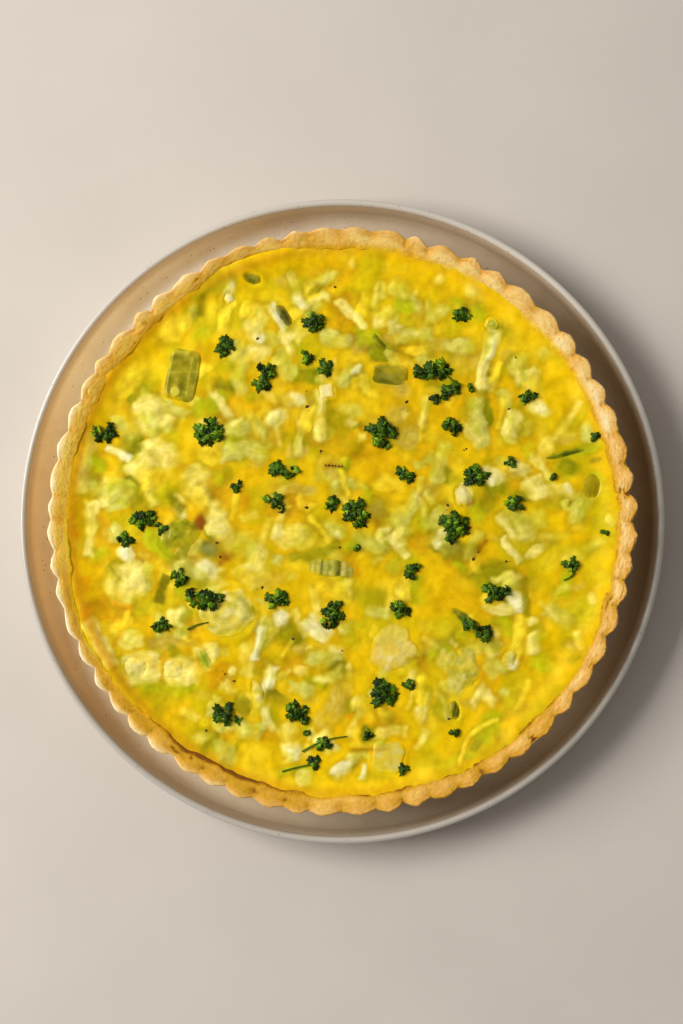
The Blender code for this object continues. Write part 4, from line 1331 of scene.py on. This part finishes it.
def make_morsel(morsel, material, custard):
    count = int(np.clip(morsel.half_length * 4.5, 26, 80))
    side = np.linspace(-1, 1, count + 1)
    u, v = np.meshgrid(side, side)
    square = np.maximum(np.abs(u), np.abs(v))
    angle = np.arctan2(v, u)
    safe = np.maximum(square, 1e-6)
    reach = np.hypot(u, v) / safe
    power = morsel.square
    outline = (np.abs(np.cos(angle)) ** power + np.abs(np.sin(angle)) ** power) ** (-1 / power)
    share = square
    seed = 100 + list(FINISHES).index(morsel.name)
    rough = 0.08 if power > 3 else 0.26
    wobble = 1 + rough * ripple(4 * np.cos(angle) + 9, 4 * np.sin(angle), 2.6, seed, 2)
    stretch = np.where(square > 0, outline / np.maximum(reach, 1e-6), 1) * (1 + (wobble - 1) * share)
    along = u * stretch * morsel.half_length
    across = v * stretch * morsel.half_width
    x, y = turned(along, across, -morsel.turn)
    x, y = x + morsel.x, y + morsel.y
    level, around, _ = custard_surface(x.ravel(), y.ravel(), custard)
    level, around = level.reshape(x.shape), around.reshape(*x.shape, 3)

    small = min(morsel.half_length, morsel.half_width)
    edge = (1 - share) * small
    shoulder = min(1.6, 0.8 * small) if power > 3 else min(5.0, 0.8 * small)
    light, relief = pattern_of(morsel, along, across, share)
    dome = smooth(-0.3, shoulder, edge)
    height = level - 0.3 + (PROUD + 0.3) * dome + relief * smooth(0, 1.5, edge)
    frayed = edge + 0.9 * ripple(along, across, 2.8, seed + 11, 2) * min(1, small / 4)
    veil = morsel.veil * smooth(-0.3, 0.5, ripple(along, across, 3.4, seed + 7, 2) + 0.3)
    film = min(1.0, 0.3 + 2 * morsel.veil)
    veil = np.clip(veil + film * (1 - smooth(0.0, 0.5 + shoulder * 0.7, frayed)), 0, film)[..., None]
    light = np.clip(light, 0, 1)[..., None]
    tint = np.array(morsel.dark) * (1 - light) + np.array(morsel.light) * light
    tint = tint * (1 - veil) + around * veil
    points = np.stack([x, y, np.minimum(height, morsel.top)], axis=-1).reshape(-1, 3)
    border = border_of(count + 1)
    skirt = points[border] * (1, 1, 0) + (0, 0, morsel.bottom)
    lower = np.arange(len(border)) + len(points)
    faces = grid_faces(count + 1, count + 1)
    faces += band(lower, border)
    faces.append(lower[::-1].tolist())
    obj = new_object(morsel.name + "_cooked", np.vstack([points, skirt]), faces, material)
    tint = linear(tint.reshape(-1, 3))
    store(obj, "tint", np.vstack([tint, tint[border]]))
    lengths = (np.append(flat, flat[border]) for flat in (along.ravel(), across.ravel()))
    store_grain(obj, *lengths)
    finish_piece(obj, morsel.slot, morsel.name)


# ---------------------------------------------------------------------------------------------
# Parsley and pepper
# ---------------------------------------------------------------------------------------------

def leaflet(name, seed):
    """A frilled, cupped blade 1 mm in radius, flat on the origin, with a toothed edge."""
    spokes = 12
    out = np.array([0.5, 1.0])[:, None]
    around = (np.arange(spokes) * tau / spokes)[None, :]
    tooth = np.cos(around * spokes / 2)
    reach = out * (1 + 0.2 * np.sin(around * 3 + seed * 2.3) * out + 0.2 * tooth * out ** 2)
    x, y = reach * np.cos(around), reach * np.sin(around) * 0.8
    z = 0.35 * np.sin(around * 2 + seed * 1.3) * out ** 2 + 0.16 * tooth * out ** 2 - 0.3 * out ** 2
    thick = 0.06
    upper = np.stack([x, y, z + thick], axis=-1).reshape(-1, 3)
    lower = np.stack([x, y, z - thick], axis=-1)[::-1].reshape(-1, 3)
    faces = [face[::-1] for face in grid_faces(4, spokes, around=True)]
    faces.append(list(range(spokes)))
    faces.append([3 * spokes + step for step in range(spokes)][::-1])
    return new_object(name, np.vstack([upper, lower]), faces)


# How light the leaflets are, from 0 to 1, and how often each shade comes up.
LEAF_SHADES = (0.2, 0.4, 0.58, 0.85)
LEAF_SHADE_ODDS = (0.22, 0.3, 0.3, 0.18)


def make_parsley(settings, custard):
    """Each sprig is a few lobes round its middle, and each lobe a fan of frilled leaflets."""
    chance = np.random.default_rng(5)
    places, layers = [], {"turn": [], "lean": [], "roll": [], "size": [], "shade": []}
    for x, y, length, width, turn in SPRIGS:
        mean = (length * width) ** 0.5
        lobes = max(2, int(round(1.2 + 0.34 * mean)))
        start = chance.uniform(0, tau)
        for lobe in range(lobes + 1):
            heading = start + tau * lobe / lobes + chance.uniform(-0.4, 0.4)
            out = chance.uniform(0.24, 0.36) if lobe < lobes else 0.04
            tone = chance.uniform(-0.15, 0.15)
            for _ in range(int(chance.integers(3, 6))):
                along = out * length * cos(heading) + chance.normal(0, 0.075) * mean
                across = out * width * sin(heading) + chance.normal(0, 0.075) * mean
                dx, dy = turned(along, across, -radians(turn))
                away = np.hypot(dx, dy) / mean
                heap = max(0.0, 0.2 - 0.35 * away) * mean * 0.6
                places.append((x + dx, y + dy, heap + chance.uniform(0, 0.9)))
                layers["turn"].append(np.arctan2(dy, dx) + chance.uniform(-0.7, 0.7))
                layers["lean"].append(1.6 * away + chance.uniform(-0.4, 0.4))
                layers["roll"].append(chance.uniform(-0.6, 0.6))
                layers["size"].append(chance.uniform(0.75, 1.25) * (0.7 + 0.095 * mean))
                layers["shade"].append(tone + chance.choice(LEAF_SHADES, p=LEAF_SHADE_ODDS))
    places = np.array(places)
    places[:, 2] += resting_height(places[:, 0], places[:, 1], custard) + 0.25
    shapes = [leaflet(f"leaflet_{number}", number * 1.7) for number in range(4)]
    obj = scatter("parsley_leaves", parsley_material(), shapes, places, settings.leaf_scale, **layers)
    finish_piece(obj, "parsley")


def make_stalks(custard):
    sides, rings = 8, 14
    share = np.linspace(0, 1, rings)
    arch = np.sin(pi * share)
    around = np.arange(sides) * tau / sides
    thick = (0.42 * (1 - 0.35 * share))[:, None]
    side, rise = np.cos(around)[None, :] * thick, np.sin(around)[None, :] * thick
    points, faces = [], []
    for x1, y1, x2, y2, bow in STALKS:
        span = np.hypot(x2 - x1, y2 - y1)
        x = x1 + (x2 - x1) * share - (y2 - y1) / span * bow * arch
        y = y1 + (y2 - y1) * share + (x2 - x1) / span * bow * arch
        z = resting_height(x, y, custard).max() + 0.25 + 0.3 * arch
        ahead = np.stack([np.gradient(x), np.gradient(y)], axis=-1)
        ahead /= np.linalg.norm(ahead, axis=1)[:, None]
        ring_x = x[:, None] + ahead[:, 1:] * side
        ring_y = y[:, None] - ahead[:, :1] * side
        first = sum(len(group) for group in points)
        points.append(np.stack([ring_x, ring_y, z[:, None] + rise], axis=-1).reshape(-1, 3))
        faces += [[corner + first for corner in face] for face in grid_faces(rings, sides, around=True)]
        faces.append([first + corner for corner in range(sides)][::-1])
        faces.append([first + (rings - 1) * sides + corner for corner in range(sides)])
    stalks = new_object("parsley_stalks", np.vstack(points), faces, parsley_material())
    store(stalks, "shade", np.full(len(stalks.data.vertices), 0.62))
    finish_piece(stalks, "parsley")


def grain(name, seed):
    """A crushed peppercorn shard about 1 mm across."""
    chance = np.random.default_rng(seed)
    gold = (1 + 5 ** 0.5) / 2
    corners = np.array([(-1, gold, 0), (1, gold, 0), (-1, -gold, 0), (1, -gold, 0),
                        (0, -1, gold), (0, 1, gold), (0, -1, -gold), (0, 1, -gold),
                        (gold, 0, -1), (gold, 0, 1), (-gold, 0, -1), (-gold, 0, 1)])
    faces = [(0, 11, 5), (0, 5, 1), (0, 1, 7), (0, 7, 10), (0, 10, 11),
             (1, 5, 9), (5, 11, 4), (11, 10, 2), (10, 7, 6), (7, 1, 8),
             (3, 9, 4), (3, 4, 2), (3, 2, 6), (3, 6, 8), (3, 8, 9),
             (4, 9, 5), (2, 4, 11), (6, 2, 10), (8, 6, 7), (9, 8, 1)]
    corners = corners / np.linalg.norm(corners[0]) * 0.5
    corners = corners * chance.uniform(0.75, 1.15, (12, 1)) * (1, 0.75, 0.55)
    shard = new_object(name, corners, faces)
    shard.data.polygons.foreach_set("use_smooth", np.zeros(len(faces), dtype=bool))
    return shard


def make_pepper(settings, custard):
    chance = np.random.default_rng(9)
    places, sizes = [], []
    for x, y, size in PEPPER:
        places.append((x, y, 0))
        sizes.append(size)
        for _ in range(2):
            places.append((x + chance.normal(0, 2.6), y + chance.normal(0, 2.6), 0))
            sizes.append(size * chance.uniform(0.2, 0.4))
    for step in range(6):
        places.append((-7 + step * 1.4, 24.1 - step * 0.12, 0))
        sizes.append(0.8)
    places = np.array(places)
    places[:, 2] = resting_height(places[:, 0], places[:, 1], custard) + 0.05
    count = len(places)
    layers = {label: chance.uniform(0, tau, count) for label in ("turn", "lean", "roll")}
    shapes = [grain(f"grain_{number}", number) for number in range(3)]
    layers["size"] = sizes
    obj = scatter("pepper_grains", pepper_material(), shapes, places, settings.pepper_scale, **layers)
    finish_piece(obj, "pepper")


# ---------------------------------------------------------------------------------------------
# The stage
# ---------------------------------------------------------------------------------------------

TABLE_REACH = 1500  # half the side of the table top, in mm
WINDOW_SIZE = 0.9, 0.7
WINDOW_PLACE = -1.12, 0.3, 1.12
WINDOW_AIM = 0, 0, 0.03
WINDOW_COLOUR = 1.0, 0.975, 0.935
ROOM_FADE = 0.6, -0.8, 0.0  # the room is dim on this side and bright across from it
ROOM_BRIGHT = 2.05, 2.0, 1.9, 1.0
ROOM_DIM = 0.2, 0.18, 0.16, 1.0
CAMERA_PLACE = -0.0002, 0.0041  # over the middle of the dish
LENS, SENSOR = 67.2, 36.0


def make_table(settings):
    recipe = Recipe("table_top", roughness=0.85, specular_ior_level=0.2)
    weave = recipe.ramp(recipe.noise(60.0, detail=4.0), (0.3, 0.97), (0.7, 1.02))
    recipe.into("Base Color", recipe.mix(1.0, linear(settings.floor), weave, "MULTIPLY"))
    corners = [(x * TABLE_REACH, y * TABLE_REACH, 0) for x, y in ((-1, -1), (1, -1), (1, 1), (-1, 1))]
    floor = new_object("table_top", corners, [(0, 1, 2, 3)], recipe.material)


def light_room(scene, settings):
    world = bpy.data.worlds.new("room")
    world.use_nodes = True
    nodes, links = world.node_tree.nodes, world.node_tree.links
    background = nodes["Background"]
    background.inputs["Strength"].default_value = settings.room_light
    side = nodes.new("ShaderNodeVectorMath")
    side.operation = "DOT_PRODUCT"
    side.inputs[1].default_value = ROOM_FADE
    links.new(nodes.new("ShaderNodeTexCoord").outputs["Generated"], side.inputs[0])
    fade = nodes.new("ShaderNodeMapRange")
    fade.inputs["From Min"].default_value = -1.0
    links.new(side.outputs["Value"], fade.inputs["Value"])
    shades = nodes.new("ShaderNodeMix")
    shades.data_type = "RGBA"
    shades.inputs[6].default_value = ROOM_BRIGHT
    shades.inputs[7].default_value = ROOM_DIM
    links.new(fade.outputs[0], shades.inputs[0])
    links.new(shades.outputs[2], background.inputs["Color"])
    scene.world = world


def hang_window(scene, settings):
    window = bpy.data.lights.new("window", "AREA")
    window.shape = "RECTANGLE"
    window.size, window.size_y = WINDOW_SIZE
    window.energy = settings.window_power
    window.color = WINDOW_COLOUR
    lamp = bpy.data.objects.new("window", window)
    lamp.location = WINDOW_PLACE
    lamp.rotation_euler = (Vector(WINDOW_AIM) - lamp.location).to_track_quat("-Z", "Y").to_euler()
    scene.collection.objects.link(lamp)


def place_camera(scene, settings):
    lens = bpy.data.cameras.new("camera")
    lens.sensor_width = SENSOR
    lens.lens = LENS
    camera = bpy.data.objects.new("camera", lens)
    camera.location = (*CAMERA_PLACE, settings.camera_height)
    scene.collection.objects.link(camera)
    scene.camera = camera
    scene.view_settings.view_transform = "Standard"


# ---------------------------------------------------------------------------------------------
# Settings
# ---------------------------------------------------------------------------------------------

def colour_property(name, description, colour):
    return bpy.props.FloatVectorProperty(name=name, description=description, subtype="COLOR", size=3,
                                         min=0.0, max=255.0, default=colour)


def length_property(name, description, metres):
    return bpy.props.FloatProperty(name=name, description=description, default=metres, unit="LENGTH")


def share_property(name, description, share, most=1.0):
    return bpy.props.FloatProperty(name=name, description=description, default=share,
                                   subtype="FACTOR", min=0, max=most)


def number_property(name, description, number, **more):
    return bpy.props.FloatProperty(name=name, description=description, default=number, **more)


class QuicheDish(bpy.types.PropertyGroup):
    lip: length_property("Lip", "Width of the dish's rounded lip", 0.0031)
    ridges: length_property("Ridges", "Depth of the throwing ridges inside the wall", 0.00012)
    glaze_warm: colour_property("Glaze, warm", "8-bit colour of the thicker glaze", (212, 193, 163))
    glaze_pale: colour_property("Glaze, pale", "8-bit colour of the thinner glaze", (222, 206, 181))
    glaze_lip: colour_property("Glaze, lip", "8-bit colour of the lip", (192, 186, 176))


class QuicheCrust(bpy.types.PropertyGroup):
    flutes: number_property("Flutes", "Number of flutes around the case", 60)
    flute_depth: length_property("Flute depth", "Depth of the valleys between flutes", 0.0019)
    pinch: share_property("Pinch", "Sharpness of the valleys", 0.8)
    draft: length_property("Draft", "How far the foot is set in from the top edge", 0.006)
    lip: length_property("Lip", "Drop of the rounded outer edge", 0.0012)
    pale: colour_property("Pale pastry", "8-bit colour of the palest pastry", (243, 206, 134))
    golden: colour_property("Golden pastry", "8-bit colour of the golden pastry", (226, 174, 84))


class QuicheCustard(bpy.types.PropertyGroup):
    relief: length_property("Relief", "Height of the lumps under the custard", 0.001)
    clearness: share_property("Clearness", "How clearly the pieces under it show", 1.7, most=2.0)
    flecks: bpy.props.IntProperty(name="Flecks", description="Number of small faint patches", default=430)
    shine: share_property("Roughness", "Roughness of its moistest places", 0.38)


class QuicheToppings(bpy.types.PropertyGroup):
    shine: share_property("Roughness", "Roughness of the moistest leek and cheese", 0.36)
    leaf_scale: number_property("Leaf scale", "Size of the parsley leaflets", 1.0)
    pepper_scale: number_property("Pepper scale", "Size of the pepper grains", 1.6)


class QuicheStage(bpy.types.PropertyGroup):
    camera_height: length_property("Camera height", "Height of the camera over the table", 0.85)
    window_power: number_property("Window", "Power of the window light", 29.2, unit="POWER")
    room_light: number_property("Room", "Strength of the light from all round", 0.27)
    floor: colour_property("Table", "8-bit colour of the table top", (204, 196, 188))


# ---------------------------------------------------------------------------------------------
# Operators
# ---------------------------------------------------------------------------------------------

class QUICHE_OT_dish(bpy.types.Operator):
    """Make the stoneware dish"""
    bl_idname = "quiche.dish"
    bl_label = "Dish"

    def execute(self, context):
        make_dish(context.scene.quiche_dish)
        return {"FINISHED"}


class QUICHE_OT_crust(bpy.types.Operator):
    """Make the fluted pastry case"""
    bl_idname = "quiche.crust"
    bl_label = "Crust"

    def execute(self, context):
        make_crust(context.scene.quiche_crust)
        return {"FINISHED"}


class QUICHE_OT_custard(bpy.types.Operator):
    """Make the baked custard with what lies under its surface"""
    bl_idname = "quiche.custard"
    bl_label = "Custard"

    def execute(self, context):
        make_custard(context.scene.quiche_custard)
        return {"FINISHED"}


class QUICHE_OT_pieces(bpy.types.Operator):
    """Make the leek and cheese that stand out of the custard"""
    bl_idname = "quiche.pieces"
    bl_label = "Leek and Cheese"

    def execute(self, context):
        settings = context.scene.quiche_toppings
        materials = {
            "leek_green": wet_food("leek_green", settings, 0.12, 0.6),
            "leek_pale": wet_food("leek_pale", settings, 0.3, 0.4),
            "cheese": wet_food("cheese", settings, 0.3, 0),
        }
        for morsel in MORSELS:
            make_morsel(morsel, materials[morsel.slot], context.scene.quiche_custard)
        return {"FINISHED"}


class QUICHE_OT_garnish(bpy.types.Operator):
    """Scatter the parsley and the pepper"""
    bl_idname = "quiche.garnish"
    bl_label = "Parsley and Pepper"

    def execute(self, context):
        custard = context.scene.quiche_custard
        settings = context.scene.quiche_toppings
        make_parsley(settings, custard)
        make_stalks(custard)
        make_pepper(settings, custard)
        return {"FINISHED"}


class QUICHE_OT_stage(bpy.types.Operator):
    """Set the pale table, the window light and the camera"""
    bl_idname = "quiche.stage"
    bl_label = "Stage"

    def execute(self, context):
        scene = context.scene
        make_table(scene.quiche_stage)
        light_room(scene, scene.quiche_stage)
        hang_window(scene, scene.quiche_stage)
        place_camera(scene, scene.quiche_stage)
        return {"FINISHED"}


class QUICHE_PT_panel(bpy.types.Panel):
    """The quiche's pieces, in the order they are made"""
    bl_idname = "QUICHE_PT_panel"
    bl_label = "Leek Quiche"
    bl_space_type = "VIEW_3D"
    bl_region_type = "UI"
    bl_category = "Quiche"

    def draw(self, context):
        for operator in OPERATORS:
            self.layout.operator(operator.bl_idname)


GROUPS = {
    "quiche_dish": QuicheDish,
    "quiche_crust": QuicheCrust,
    "quiche_custard": QuicheCustard,
    "quiche_toppings": QuicheToppings,
    "quiche_stage": QuicheStage,
}
OPERATORS = (QUICHE_OT_dish, QUICHE_OT_crust, QUICHE_OT_custard, QUICHE_OT_pieces, QUICHE_OT_garnish,
             QUICHE_OT_stage)


def register():
    for group in GROUPS.values():
        bpy.utils.register_class(group)
    for operator in OPERATORS:
        bpy.utils.register_class(operator)
    bpy.utils.register_class(QUICHE_PT_panel)
    for name, group in GROUPS.items():
        setattr(bpy.types.Scene, name, bpy.props.PointerProperty(type=group))


def unregister():
    for name in GROUPS:
        delattr(bpy.types.Scene, name)
    bpy.utils.unregister_class(QUICHE_PT_panel)
    for operator in reversed(OPERATORS):
        bpy.utils.unregister_class(operator)
    for group in reversed(GROUPS.values()):
        bpy.utils.unregister_class(group)


def main():
    """Makes every piece in order."""
    register()
    bpy.ops.quiche.dish()
    bpy.ops.quiche.crust()
    bpy.ops.quiche.custard()
    bpy.ops.quiche.pieces()
    bpy.ops.quiche.garnish()
    bpy.ops.quiche.stage()


if __name__ == "__main__":
    main()
